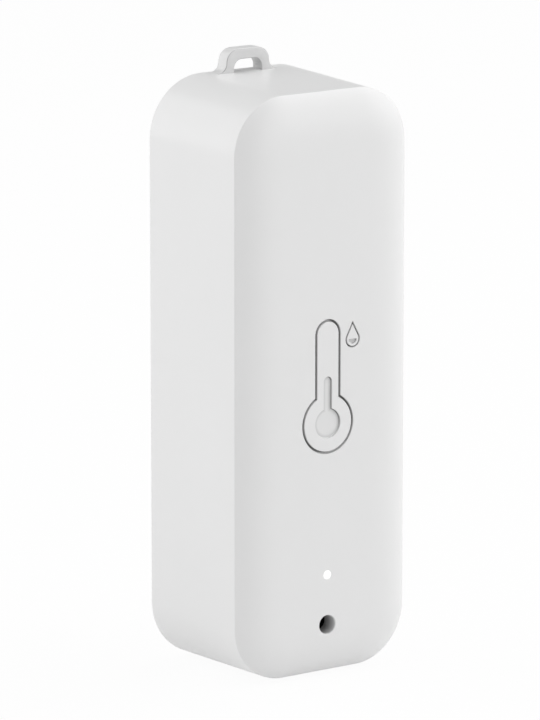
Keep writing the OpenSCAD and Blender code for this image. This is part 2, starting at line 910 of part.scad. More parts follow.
// Two stub pins that turn in the lugs
module stub_pins(inner_x) {
    for (side = [-1, 1])
        bar_x(hinge_y, hinge_z, pin_r, side > 0 ? inner_x - over : -inner_x - lug_gap - lug_w,
              side > 0 ? inner_x + lug_gap + lug_w : over - inner_x);
}

front_shell();
light_pipe();
vent_gasket();
chassis();
chassis_screws();
circuit_board();
radio_board();
radio_shield();
humidity_chip();
status_led();
power_chip();
inductor();
bulk_capacitor();
chip_passives();
button_switch();
negative_plate();
negative_spring();
positive_plate();
bridge_plate();
bridge_spring();
color("silver") in_left_cradle() cell_can();  // left_cell_can
color("seagreen") in_left_cradle() cell_sleeve();  // left_cell_sleeve
color("white") in_left_cradle() cell_washer();  // left_cell_washer
color("silver") in_right_cradle() cell_can();  // right_cell_can
color("seagreen") in_right_cradle() cell_sleeve();  // right_cell_sleeve
color("white") in_right_cradle() cell_washer();  // right_cell_washer
switch_plunger();
pairing_button();
battery_door();
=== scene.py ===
"""Looks of a pocket temperature and humidity sensor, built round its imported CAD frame.

The object's sizes are in millimetres until a mesh is made. The frame is the CAD model's own:
+Z up, the crowned face towards -Y and the origin under the middle of the box.
"""

import logging
import math
from collections.abc import Callable, Iterable, Sequence
from dataclasses import dataclass, field
from enum import Enum
from typing import NamedTuple

import bmesh
import bpy
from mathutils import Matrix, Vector
from mathutils.geometry import delaunay_2d_cdt


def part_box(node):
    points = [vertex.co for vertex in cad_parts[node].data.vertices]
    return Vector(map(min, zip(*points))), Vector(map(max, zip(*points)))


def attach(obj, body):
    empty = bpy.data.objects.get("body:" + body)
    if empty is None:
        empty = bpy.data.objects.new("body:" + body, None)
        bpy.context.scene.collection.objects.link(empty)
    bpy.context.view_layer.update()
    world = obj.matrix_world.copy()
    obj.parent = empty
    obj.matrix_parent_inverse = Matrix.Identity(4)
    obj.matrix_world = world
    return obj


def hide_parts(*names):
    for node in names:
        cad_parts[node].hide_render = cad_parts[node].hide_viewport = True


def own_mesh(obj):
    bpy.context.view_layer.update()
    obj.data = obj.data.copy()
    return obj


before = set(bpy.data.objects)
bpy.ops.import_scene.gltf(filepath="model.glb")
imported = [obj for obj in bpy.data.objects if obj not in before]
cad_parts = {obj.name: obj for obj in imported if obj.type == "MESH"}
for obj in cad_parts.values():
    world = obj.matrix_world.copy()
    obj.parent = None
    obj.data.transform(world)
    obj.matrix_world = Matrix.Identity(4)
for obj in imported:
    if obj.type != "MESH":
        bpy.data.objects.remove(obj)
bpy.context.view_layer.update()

MM = 0.001
Pair = tuple[float, float]
Point = tuple[float, float, float]
Colour = tuple[float, float, float]
ORIGIN: Point = (0.0, 0.0, 0.0)
BLACK: Colour = (0.0, 0.0, 0.0)
WHITE: Colour = (1.0, 1.0, 1.0)
BOTH_SIDES = (-1, 1)
NOISE_ROUGHNESS = 0.55
FINE_LAYERS = 3.0
TINY = 1e-6
CDT_INSIDE = 1
FACE_Y = -9.5
INNER_Y = -7.9
WINDOW_Z = 12.9
SCREW_X = 7.5
LOW_ROW_Z = 7.05
CELL_X = 5.4
CELL_Y = 2.55
LEFT_FOOT_Z = 18.8
RIGHT_FOOT_Z = 59.0
NEGATIVE_COIL_Z = 14.0
BRIDGE_COIL_Z = 63.8
log = logging.getLogger("sensor")


class Body(Enum):
    """The CAD bodies that pieces ride on."""

    HOUSING = "housing"
    DOOR = "battery_door"
    LEFT_CELL = "left_cell"
    RIGHT_CELL = "right_cell"
    BUTTON = "pairing_button"


class Axis(Enum):
    """The direction that a turned piece points in."""

    UP = (0.0, 0.0, 1.0)
    DOWN = (0.0, 0.0, -1.0)
    REAR = (0.0, 1.0, 0.0)


# Node trees


Operator = Callable[["Wire", "Wire | float"], "Wire"]


def wire_operator(operation: str, reflected: bool = False) -> Operator:
    """Make an operator of wires.

    Args:
        operation: The operation of the Math node that it adds.
        reflected: Whether the wire is the second value.

    Returns:
        A method for the Wire class.
    """
    def method(self: "Wire", other: "Wire | float") -> "Wire":
        """Return the operation's result."""
        first, second = (other, self) if reflected else (self, other)
        return self.maths(operation, first, second)

    return method


class Wire:
    """A node's output that takes part in Python expressions."""

    def __init__(self, tree: "Tree", socket: bpy.types.NodeSocket) -> None:
        """Hold an output socket of a tree."""
        self.tree = tree
        self.socket = socket

    def maths(self, operation: str, first: "Wire | float", second: "Wire | float") -> "Wire":
        """Add a Math node.

        Args:
            operation: The node's operation.
            first: Its first value.
            second: Its second value.

        Returns:
            The node's result.
        """
        node = self.tree.node("ShaderNodeMath", {"operation": operation}, {0: first, 1: second})
        return Wire(self.tree, node.outputs[0])

    __add__, __radd__ = wire_operator("ADD"), wire_operator("ADD", True)
    __sub__, __rsub__ = wire_operator("SUBTRACT"), wire_operator("SUBTRACT", True)
    __mul__, __rmul__ = wire_operator("MULTIPLY"), wire_operator("MULTIPLY", True)
    __truediv__, __rtruediv__ = wire_operator("DIVIDE"), wire_operator("DIVIDE", True)
    __gt__, __lt__ = wire_operator("GREATER_THAN"), wire_operator("LESS_THAN")

    def floor(self) -> "Wire":
        """Return self, rounded down."""
        return self.maths("FLOOR", self, 0.0)

    def swing(self, spread: float) -> "Wire":
        """Return a pattern of 0 to 1, centred on 0 and as wide as spread."""
        return (self - 0.5) * spread


class Tree:
    """A node tree that is being built."""

    def __init__(self, tree: bpy.types.NodeTree) -> None:
        """Take an empty tree."""
        self.tree = tree

    def node(
        self,
        kind: str,
        settings: dict[str, object] | None = None,
        sockets: dict[str | int, object] | None = None,
    ) -> bpy.types.Node:
        """Add a node, with its settings first and its sockets after them.

        Args:
            kind: The node's type name.
            settings: Properties of the node.
            sockets: A value or a Wire for each input, by name or by place.

        Returns:
            The new node.
        """
        node = self.tree.nodes.new(kind)
        for name, value in (settings or {}).items():
            setattr(node, name, value)
        for key, value in (sockets or {}).items():
            socket = self._socket(node.inputs, key)
            if isinstance(value, Wire):
                self.tree.links.new(value.socket, socket)
            else:
                socket.default_value = value
        return node

    def wire(
        self,
        kind: str,
        settings: dict[str, object] | None = None,
        sockets: dict[str | int, object] | None = None,
        output: str | int = 0,
    ) -> Wire:
        """Add a node and take one of its outputs.

        Args:
            kind: The node's type name.
            settings: Properties of the node.
            sockets: A value or a Wire for each input.
            output: The output's name or place.

        Returns:
            The output, ready for expressions.
        """
        made = self.node(kind, settings, sockets)
        return Wire(self, self._socket(made.outputs, output))

    @staticmethod
    def _socket(row: Sequence[bpy.types.NodeSocket], key: str | int) -> bpy.types.NodeSocket:
        """Find a socket.

        Args:
            row: A node's inputs or outputs.
            key: Its place, or its name among the sockets that show.

        Returns:
            The socket.
        """
        if isinstance(key, int):
            return row[key]
        return next(s for s in row if s.enabled and s.name == key)


class ShaderTree(Tree):
    """A material's node tree, with the few patterns that the finishes share."""

    @classmethod
    def of(cls, owner: bpy.types.Material | bpy.types.World) -> "ShaderTree":
        """Empty a node tree.

        Args:
            owner: The material or the world that has it.

        Returns:
            The tree, without nodes.
        """
        owner.use_nodes = True
        owner.node_tree.nodes.clear()
        return cls(owner.node_tree)

    def millimetres(self) -> Wire:
        """Return the Object coordinates in millimetres."""
        sockets = {"Vector": self.wire("ShaderNodeTexCoord", output="Object"), "Scale": 1 / MM}
        return self.wire("ShaderNodeVectorMath", {"operation": "SCALE"}, sockets)

    def noise(
        self, point: Wire, scale: float, detail: float = 2.0, stretch: Point = (1.0, 1.0, 1.0)
    ) -> Wire:
        """Add a noise pattern.

        Args:
            point: Where the pattern is read.
            scale: Its repeats in a millimetre.
            detail: How many finer layers it has.
            stretch: How much denser it is along each axis.

        Returns:
            The pattern's value, from 0 to 1.
        """
        mapped = self.wire("ShaderNodeMapping", None, {"Vector": point, "Scale": stretch})
        sockets = {"Vector": mapped, "Scale": scale, "Detail": detail}
        sockets["Roughness"] = NOISE_ROUGHNESS
        return self.wire("ShaderNodeTexNoise", {"noise_dimensions": "3D"}, sockets)

    def blend(self, factor: Wire, low: Colour | Wire, high: Colour | Wire) -> Wire:
        """Mix two colours.

        Args:
            factor: 0 for the first colour and 1 for the second.
            low: The first colour.
            high: The second colour.

        Returns:
            The mixed colour.
        """
        ends = [c if isinstance(c, Wire) else (*c, 1.0) for c in (low, high)]
        sockets = {"Factor": factor, "A": ends[0], "B": ends[1]}
        return self.wire("ShaderNodeMix", {"data_type": "RGBA"}, sockets, "Result")

    def bump(self, height: Wire, rise: float, strength: float = 1.0) -> Wire:
        """Raise the surface in shading.

        Args:
            height: The pattern, from 0 to 1.
            rise: The height of 1, in millimetres.
            strength: How much of it is used.

        Returns:
            The bent normal.
        """
        sockets = {"Strength": strength, "Distance": rise * MM, "Height": height}
        return self.wire("ShaderNodeBump", None, sockets)


# Finishes


def scaled(tint: Colour, share: float, lift: float = 0.0) -> Colour:
    """Return a colour times a share, plus a lift, 1 at most in each channel."""
    return tuple(min(1.0, channel * share + lift) for channel in tint)


@dataclass(frozen=True)
class Finish:
    """What every finish has: a name, and a material that is made once."""

    name: str

    def material(self) -> bpy.types.Material:
        """Build the finish's material at the first call, and find it at the next ones.

        Returns:
            The material.
        """
        found = bpy.data.materials.get(self.name)
        if found is not None:
            return found
        made = bpy.data.materials.new(self.name)
        tree = ShaderTree.of(made)
        surface = tree.wire("ShaderNodeBsdfPrincipled", None, self.sockets(tree))
        tree.node("ShaderNodeOutputMaterial", None, {"Surface": surface})
        return made

    def sockets(self, tree: ShaderTree) -> dict[str, object]:
        """Return the surface shader's inputs.

        Args:
            tree: The material's tree, where patterns are added.

        Returns:
            A value or a Wire for each input that the finish sets.
        """
        raise NotImplementedError


@dataclass(frozen=True)
class MouldedPlastic(Finish):
    """Moulded plastic with a fine texture and a faint flow shade."""

    tint: Colour
    shade: float = 0.03
    roughness: float = 0.42
    grain: float = 5.0
    grain_rise: float = 0.003
    # How far the painted shade darkens the colour towards black, 0 for none.
    painted_shade_dark: float = 0.0
    grain_share: float = 0.2
    grain_gloss: float = 0.05
    grain_bump: float = 0.5
    flow: float = 0.09
    flow_stretch: Point = (1.0, 1.0, 0.5)
    flow_gloss: float = 0.03

    def sockets(self, tree: ShaderTree) -> dict[str, object]:
        """Make a colour with slow flow shade and a finely textured surface.

        Args:
            tree: The material's tree.

        Returns:
            The surface shader's inputs.
        """
        point = tree.millimetres()
        flow = tree.noise(point, self.flow, FINE_LAYERS, self.flow_stretch)
        grain = tree.noise(point, self.grain, FINE_LAYERS)
        mixed = flow * (1 - self.grain_share) + grain * self.grain_share
        colour = tree.blend(mixed, scaled(self.tint, 1 - self.shade), self.tint)
        # Painted shade: the colour is darkened by the painted shade that the mesh holds.
        if self.painted_shade_dark > 0:
            recess = tree.wire("ShaderNodeAttribute", {"attribute_name": "recess"}, None, "Fac")
            colour = tree.blend(recess * self.painted_shade_dark, colour, BLACK)
        return {
            "Base Color": colour,
            "Roughness": self.roughness + grain.swing(self.grain_gloss) + flow.swing(self.flow_gloss),
            "Normal": tree.bump(grain, self.grain_rise, self.grain_bump),
        }


@dataclass(frozen=True)
class PlatedMetal(Finish):
    """Plated or drawn metal with fine lines along one axis."""

    tint: Colour
    roughness: float = 0.28
    lines: Point = (1.0, 1.0, 1.0)
    line_scale: float = 9.0
    line_share: float = 0.4
    line_gloss: float = 0.16
    line_rise: float = 0.002
    line_bump: float = 0.4
    patch_scale: float = 0.5
    patch_gloss: float = 0.12
    dull: float = 0.78

    def sockets(self, tree: ShaderTree) -> dict[str, object]:
        """Make a metal with drawn lines and a patchy gloss.

        Args:
            tree: The material's tree.

        Returns:
            The surface shader's inputs.
        """
        point = tree.millimetres()
        drawn = tree.noise(point, self.line_scale, stretch=self.lines)
        patch = tree.noise(point, self.patch_scale, FINE_LAYERS)
        mixed = patch * (1 - self.line_share) + drawn * self.line_share
        return {
            "Base Color": tree.blend(mixed, scaled(self.tint, self.dull), self.tint),
            "Metallic": 1.0,
            "Roughness": self.roughness + drawn.swing(self.line_gloss) + patch.swing(self.patch_gloss),
            "Normal": tree.bump(drawn, self.line_rise, self.line_bump),
        }


@dataclass(frozen=True)
class PrintedFilm(Finish):
    """Shrink film of a cell, printed in two plain bands with a thin line between them."""

    start: float
    sense: float
    body: Colour = (0.075, 0.19, 0.29)
    body_dull: float = 0.85
    band: Colour = (0.62, 0.63, 0.64)
    band_dull: float = 0.9
    band_from: float = 33.0
    band_metal: float = 0.5
    line_w: float = 0.7
    roughness: float = 0.37
    speckle_scale: float = 14.0
    wrinkle_scale: float = 0.7
    wrinkle_stretch: Point = (1.0, 1.0, 0.2)
    wrinkle_gloss: float = 0.1
    wrinkle_rise: float = 0.02
    wrinkle_bump: float = 0.3

    def sockets(self, tree: ShaderTree) -> dict[str, object]:
        """Make the printed bands under a clear, slightly wrinkled film.

        Args:
            tree: The material's tree.

        Returns:
            The surface shader's inputs.
        """
        point = tree.millimetres()
        height = tree.wire("ShaderNodeSeparateXYZ", None, {"Vector": point}, "Z")
        along = (height - self.start) * self.sense
        speckle = tree.noise(point, self.speckle_scale)
        wrinkle = tree.noise(point, self.wrinkle_scale, stretch=self.wrinkle_stretch)
        dark = tree.blend(speckle, scaled(self.body, self.body_dull), self.body)
        pale = tree.blend(speckle, scaled(self.band, self.band_dull), self.band)
        in_band = along > self.band_from
        line_end = self.band_from - self.line_w
        in_line = (along > line_end - self.line_w) * (along < line_end)
        return {
            "Base Color": tree.blend(in_band + in_line, dark, pale),
            "Metallic": in_band * self.band_metal,
            "Roughness": self.roughness + wrinkle.swing(self.wrinkle_gloss),
            "Normal": tree.bump(wrinkle, self.wrinkle_rise, self.wrinkle_bump),
        }


@dataclass(frozen=True)
class SolderMask(Finish):
    """Lacquered board with faint raised tracks and small round pads."""

    tint: Colour
    lanes: Pair = (0.9, 1.8)
    runs: Pair = (6.0, 4.5)
    bare: Pair = (0.45, 0.7)
    track_share: float = 0.34
    track_rise: float = 0.03
    track_bump: float = 0.4
    track_light: Pair = (1.7, 0.01)
    pad_r: float = 0.3
    pad_scale: float = 0.5
    dull: float = 0.8
    roughness: float = 0.34
    mottle_scale: float = 2.0
    mottle_gloss: float = 0.1

    def tracks(self, tree: ShaderTree, across: Wire, along: Wire, bare: float) -> Wire:
        """Draw straight tracks side by side, each broken into runs.

        Args:
            tree: The material's tree.
            across: The place across the tracks, in lanes.
            along: The place along the tracks, in runs.
            bare: The share of the runs that have no track.

        Returns:
            1 on a track and 0 elsewhere.
        """
        lane = across.floor()
        key = tree.wire("ShaderNodeCombineXYZ", None, {"X": lane, "Y": along.floor()})
        drawn = tree.wire("ShaderNodeTexWhiteNoise", {"noise_dimensions": "2D"}, {"Vector": key})
        return (drawn > bare) * (across - lane < self.track_share)

    def sockets(self, tree: ShaderTree) -> dict[str, object]:
        """Make a lacquer whose tracks and pads show as a lighter green.

        Args:
            tree: The material's tree.

        Returns:
            The surface shader's inputs.
        """
        point = tree.millimetres()
        x, z = (tree.wire("ShaderNodeSeparateXYZ", None, {"Vector": point}, axis) for axis in "XZ")
        upright = self.tracks(tree, x / self.lanes[0], z / self.runs[0], self.bare[0])
        level = self.tracks(tree, z / self.lanes[1], x / self.runs[1], self.bare[1])
        spot = tree.wire("ShaderNodeTexVoronoi", None, {"Vector": point, "Scale": self.pad_scale})
        track = upright + level + (spot < self.pad_r * self.pad_scale) > 0.5
        mottle = tree.noise(point, self.mottle_scale, FINE_LAYERS)
        lacquer = tree.blend(mottle, scaled(self.tint, self.dull), self.tint)
        return {
            "Base Color": tree.blend(track, lacquer, scaled(self.tint, *self.track_light)),
            "Roughness": self.roughness + mottle.swing(self.mottle_gloss),
            "Normal": tree.bump(track, self.track_rise, self.track_bump),
        }


@dataclass(frozen=True)
class Moulded(Finish):
    """Dull cast or pressed stuff, such as resin, ferrite, foam, ceramic or card."""

    tint: Colour
    roughness: float
    scale: float
    spread: float
    rise: float
    layers: float = 4.0
    gloss: float = 0.2
    bump: float = 0.6

    def sockets(self, tree: ShaderTree) -> dict[str, object]:
        """Make a speckled, slightly uneven surface.

        Args:
            tree: The material's tree.

        Returns:
            The surface shader's inputs.
        """
        speckle = tree.noise(tree.millimetres(), self.scale, self.layers)
        dark, light = (scaled(self.tint, 1 + self.spread * side) for side in BOTH_SIDES)
        return {
            "Base Color": tree.blend(speckle, dark, light),
            "Roughness": self.roughness + speckle.swing(self.gloss),
            "Normal": tree.bump(speckle, self.rise, self.bump),
        }


@dataclass(frozen=True)
class MilkyLight(Finish):
    """Milky window with the indicator's light behind it."""

    tint: Colour = (0.93, 0.93, 0.93)
    dull: float = 0.96
    glow: float = 0.3
    roughness: float = 0.18
    cloud_scale: float = 3.0
    cloud_gloss: float = 0.06

    def sockets(self, tree: ShaderTree) -> dict[str, object]:
        """Make a milky white that glows a little unevenly.

        Args:
            tree: The material's tree.

        Returns:
            The surface shader's inputs.
        """
        cloud = tree.noise(tree.millimetres(), self.cloud_scale)
        return {
            "Base Color": tree.blend(cloud, scaled(self.tint, self.dull), self.tint),
            "Roughness": self.roughness + cloud.swing(self.cloud_gloss),
            "Emission Color": tree.blend(cloud, scaled(WHITE, self.dull), WHITE),
            "Emission Strength": self.glow,
        }


SHELL_WHITE: Colour = (0.83, 0.83, 0.83)
# The shell's colour carries painted shade in its cuts, its air port and on the loop.
WHITE_SHELL = MouldedPlastic(
    "white_shell", SHELL_WHITE, roughness=0.305, grain_rise=0.0008, painted_shade_dark=0.8
)
WHITE_DOOR = MouldedPlastic("white_door", SHELL_WHITE, roughness=0.52, grain_rise=0.001)
PALE_CHASSIS = MouldedPlastic("pale_chassis", (0.8, 0.8, 0.795), 0.05, 0.5, 3.0, 0.006)
GREY_BUTTON = MouldedPlastic("grey_button", (0.1, 0.1, 0.11), 0.15, 0.5, 4.0, 0.006)
BLACK_PLUNGER = MouldedPlastic("black_plunger", (0.05, 0.05, 0.05), 0.2, 0.45, 4.0, 0.004)
ZINC = PlatedMetal("zinc", (0.6, 0.6, 0.61), 0.34, (1.0, 0.2, 1.0))
NICKEL = PlatedMetal("nickel", (0.74, 0.72, 0.68), 0.22, (0.08, 1.0, 1.0))
WIRE_NICKEL = PlatedMetal("wire_nickel", (0.72, 0.7, 0.67), 0.2)
CAN_METAL = PlatedMetal("can_metal", (0.7, 0.7, 0.7), 0.26, (0.2, 0.2, 1.0))
SHIELD_TIN = PlatedMetal("shield_tin", (0.66, 0.66, 0.64), 0.36, (0.06, 1.0, 1.0))
TINNED_END = PlatedMetal("tinned_end", (0.68, 0.68, 0.67), 0.3)
GOLD_PLATE = PlatedMetal("gold_plate", (0.8, 0.6, 0.3), 0.3)
LEFT_FILM = PrintedFilm("left_film", LEFT_FOOT_Z, 1.0)
RIGHT_FILM = PrintedFilm("right_film", RIGHT_FOOT_Z, -1.0)
BOARD_GREEN = SolderMask("board_green", (0.03, 0.18, 0.08))
RADIO_GREEN = SolderMask("radio_green", (0.02, 0.08, 0.05))
SEAL_CARD = Moulded("seal_card", (0.72, 0.69, 0.63), 0.75, 4.0, 0.12, 0.02)
CHIP_RESIN = Moulded("chip_resin", (0.02, 0.02, 0.02), 0.62, 12.0, 0.4, 0.008)
FERRITE = Moulded("ferrite", (0.08, 0.08, 0.085), 0.5, 10.0, 0.3, 0.012)
CAPACITOR_RESIN = Moulded("capacitor_resin", (0.6, 0.36, 0.05), 0.42, 5.0, 0.12, 0.006)
CERAMIC = Moulded("ceramic", (0.4, 0.3, 0.2), 0.48, 8.0, 0.12, 0.004)
LED_RESIN = Moulded("led_resin", (0.85, 0.83, 0.7), 0.3, 6.0, 0.06, 0.003)
FOAM = Moulded("foam", (0.018, 0.018, 0.018), 0.9, 3.5, 0.5, 0.08)
WINDOW_LIGHT = MilkyLight("window_light")


# Mesh tools


def arc(centre: Pair, radius: float, start: float, sweep: float, steps: int) -> list[Pair]:
    """Return points along an arc, both ends included.

    Args:
        centre: The arc's centre.
        radius: Its radius.
        start: The angle of the first point, in degrees.
        sweep: The angle that it turns through, in degrees.
        steps: The number of pieces that it is cut into.

    Returns:
        The points in order.
    """
    turns = [math.radians(start + sweep * i / steps) for i in range(steps + 1)]
    return [(centre[0] + radius * math.cos(t), centre[1] + radius * math.sin(t)) for t in turns]


def rounded(corners: Sequence[Point], steps: int = 4) -> list[Pair]:
    """Round the corners of an open line.

    Args:
        corners: Each corner's two coordinates and its radius, 0 for a plain point.
        steps: The number of pieces in each rounding.

    Returns:
        The points of the rounded line.
    """
    line: list[Pair] = []
    for i, (u, v, radius) in enumerate(corners):
        if radius <= 0 or i in (0, len(corners) - 1):
            line.append((u, v))
            continue
        here = Vector((u, v))
        back = (Vector(corners[i - 1][:2]) - here).normalized()
        ahead = (Vector(corners[i + 1][:2]) - here).normalized()
        half = back.angle(ahead) / 2
        centre = here + (back + ahead).normalized() * radius / math.sin(half)
        first = here + back * radius / math.tan(half) - centre
        last = here + ahead * radius / math.tan(half) - centre
        turn = first.angle_signed(last)
        start = math.atan2(first.y, first.x)
        for k in range(steps + 1):
            angle = start - turn * k / steps
            line.append((centre.x + radius * math.cos(angle), centre.y + radius * math.sin(angle)))
    return line


class CutPoint(NamedTuple):
    """One point of an engraved section.

    grow is its distance outside the drawn line and depth its distance behind the face. recess is
    the painted shade of its colour, from 0 to 1. facing is 1 on a wall that looks towards the
    middle of the figure, -1 on one that looks away from it and 0 on a floor.
    """

    grow: float
    depth: float
    recess: float
    facing: float


class Sketch:
    """Points and faces of a mesh, in millimetres."""

    def __init__(self) -> None:
        """Start with nothing."""
        self.points: list[Point] = []
        self.faces: list[tuple[int, ...]] = []
        # Painted shade of each point, which darkens its colour in the material.
        self.recess: dict[int, float] = {}

    def ring(self, points: Iterable[Point], recess: float = 0.0) -> list[int]:
        """Add points in order.

        Args:
            points: The points.
            recess: The painted shade of their colour, from 0 to 1.

        Returns:
            The numbers of the points.
        """
        first = len(self.points)
        self.points.extend(points)
        numbers = list(range(first, len(self.points)))
        if recess > 0:
            self.recess.update(dict.fromkeys(numbers, recess))
        return numbers

    def band(self, one: Sequence[int], two: Sequence[int]) -> None:
        """Join two closed rings of the same length by four-sided faces.

        Args:
            one: The first ring.
            two: The second ring.
        """
        for i in range(len(one)):
            j = (i + 1) % len(one)
            self.faces.append((one[i], one[j], two[j], two[i]))

    def loft(self, rings: Sequence[Sequence[int]]) -> None:
        """Join each closed ring to the next one."""
        for one, two in zip(rings, rings[1:]):
            self.band(one, two)

    def fill(
        self, outer: Sequence[int], holes: Sequence[Sequence[int]] = (), loose: Sequence[int] = ()
    ) -> None:
        """Fill a face that looks along Y, with holes left open.

        Args:
            outer: The ring round the face.
            holes: Rings inside it.
            loose: Points inside it that the face goes through.
        """
        used: list[int] = []
        edges: list[tuple[int, int]] = []
        for ring in (outer, *holes):
            base = len(used)
            used.extend(ring)
            edges.extend((base + i, base + (i + 1) % len(ring)) for i in range(len(ring)))
        used.extend(loose)
        flat = [Vector((self.points[n][0], self.points[n][2])) for n in used]
        places, _, faces, sources, _, _ = delaunay_2d_cdt(flat, edges, [], CDT_INSIDE, TINY)
        numbers = [used[ids[0]] for ids in sources]
        open_rings = [[(self.points[n][0], self.points[n][2]) for n in ring] for ring in holes]
        for face in faces:
            middle = sum((places[i] for i in face), Vector((0.0, 0.0))) / len(face)
            if not any(self._within(middle, ring) for ring in open_rings):
                self.faces.append(tuple(numbers[i] for i in face))

    @staticmethod
    def _within(point: Vector, ring: Sequence[Pair]) -> bool:
        """Tell whether a flat point lies inside a closed line.

        Args:
            point: The point.
            ring: The line's points in order.

        Returns:
            True inside the line.
        """
        crossings = 0
        for (u0, v0), (u1, v1) in zip(ring, (*ring[1:], ring[0])):
            if (v0 > point.y) != (v1 > point.y):
                crossings += point.x < u0 + (u1 - u0) * (point.y - v0) / (v1 - v0)
        return crossings % 2 == 1

    def turn(self, line: Sequence[Pair], centre: Point, axis: Axis, steps: int = 64) -> None:
        """Turn a line about an axis into a closed form.

        Args:
            line: (radius, height) points, from pole to pole or round a closed section.
            centre: Where height 0 lies on the axis.
            axis: The direction of height.
            steps: The number of faces round the axis.
        """
        up = Vector(axis.value)
        side = Vector((1.0, 0.0, 0.0))
        across = up.cross(side)
        rings: list[list[int]] = []
        for radius, height in line:
            foot = Vector(centre) + up * height
            count = 1 if radius < TINY else steps
            angles = [2 * math.pi * k / count for k in range(count)]
            spokes = [side * math.cos(a) + across * math.sin(a) for a in angles]
            rings.append(self.ring(tuple(foot + s * radius) for s in spokes))
        pairs = list(zip(rings, rings[1:]))
        if len(rings[0]) > 1:
            pairs.append((rings[-1], rings[0]))
        for one, two in pairs:
            if len(one) == 1 or len(two) == 1:
                pole, rim = (one, two) if len(one) == 1 else (two, one)
                self.faces.extend((pole[0], rim[k], rim[(k + 1) % steps]) for k in range(steps))
            else:
                self.band(one, two)

    def slab(self, low: Point, high: Point, edge: float) -> None:
        """Add a block whose front face has bevelled edges.

        Args:
            low: Its lowest corner.
            high: Its highest corner.
            edge: The width of the bevel.
        """
        rings = []
        for depth, inset in ((low[1], edge), (low[1] + edge, 0.0), (high[1], 0.0)):
            x0, x1 = low[0] + inset, high[0] - inset
            z0, z1 = low[2] + inset, high[2] - inset
            corners = ((x0, z0), (x1, z0), (x1, z1), (x0, z1))
            rings.append(self.ring((x, depth, z) for x, z in corners))
        self.solid(rings)

    def solid(self, rings: Sequence[Sequence[int]]) -> None:
        """Join the rings in order and close both ends."""
        self.loft(rings)
        self.faces += [tuple(rings[0]), tuple(rings[-1])]

    def mesh(self, name: str) -> bpy.types.Mesh:
        """Make the mesh, in metres and with its faces turned outwards.

        Args:
            name: The mesh's name.

        Returns:
            The new mesh.
        """
        made = bpy.data.meshes.new(name)
        made.from_pydata([Vector(p) * MM for p in self.points], [], self.faces)
        # The painted shade goes to the mesh as a point attribute.
        if self.recess:
            values = made.attributes.new("recess", "FLOAT", "POINT").data
            for number, value in self.recess.items():
                values[number].value = value
        work = bmesh.new()
        work.from_mesh(made)
        bmesh.ops.recalc_face_normals(work, faces=work.faces)
        work.to_mesh(made)
        work.free()
        return made


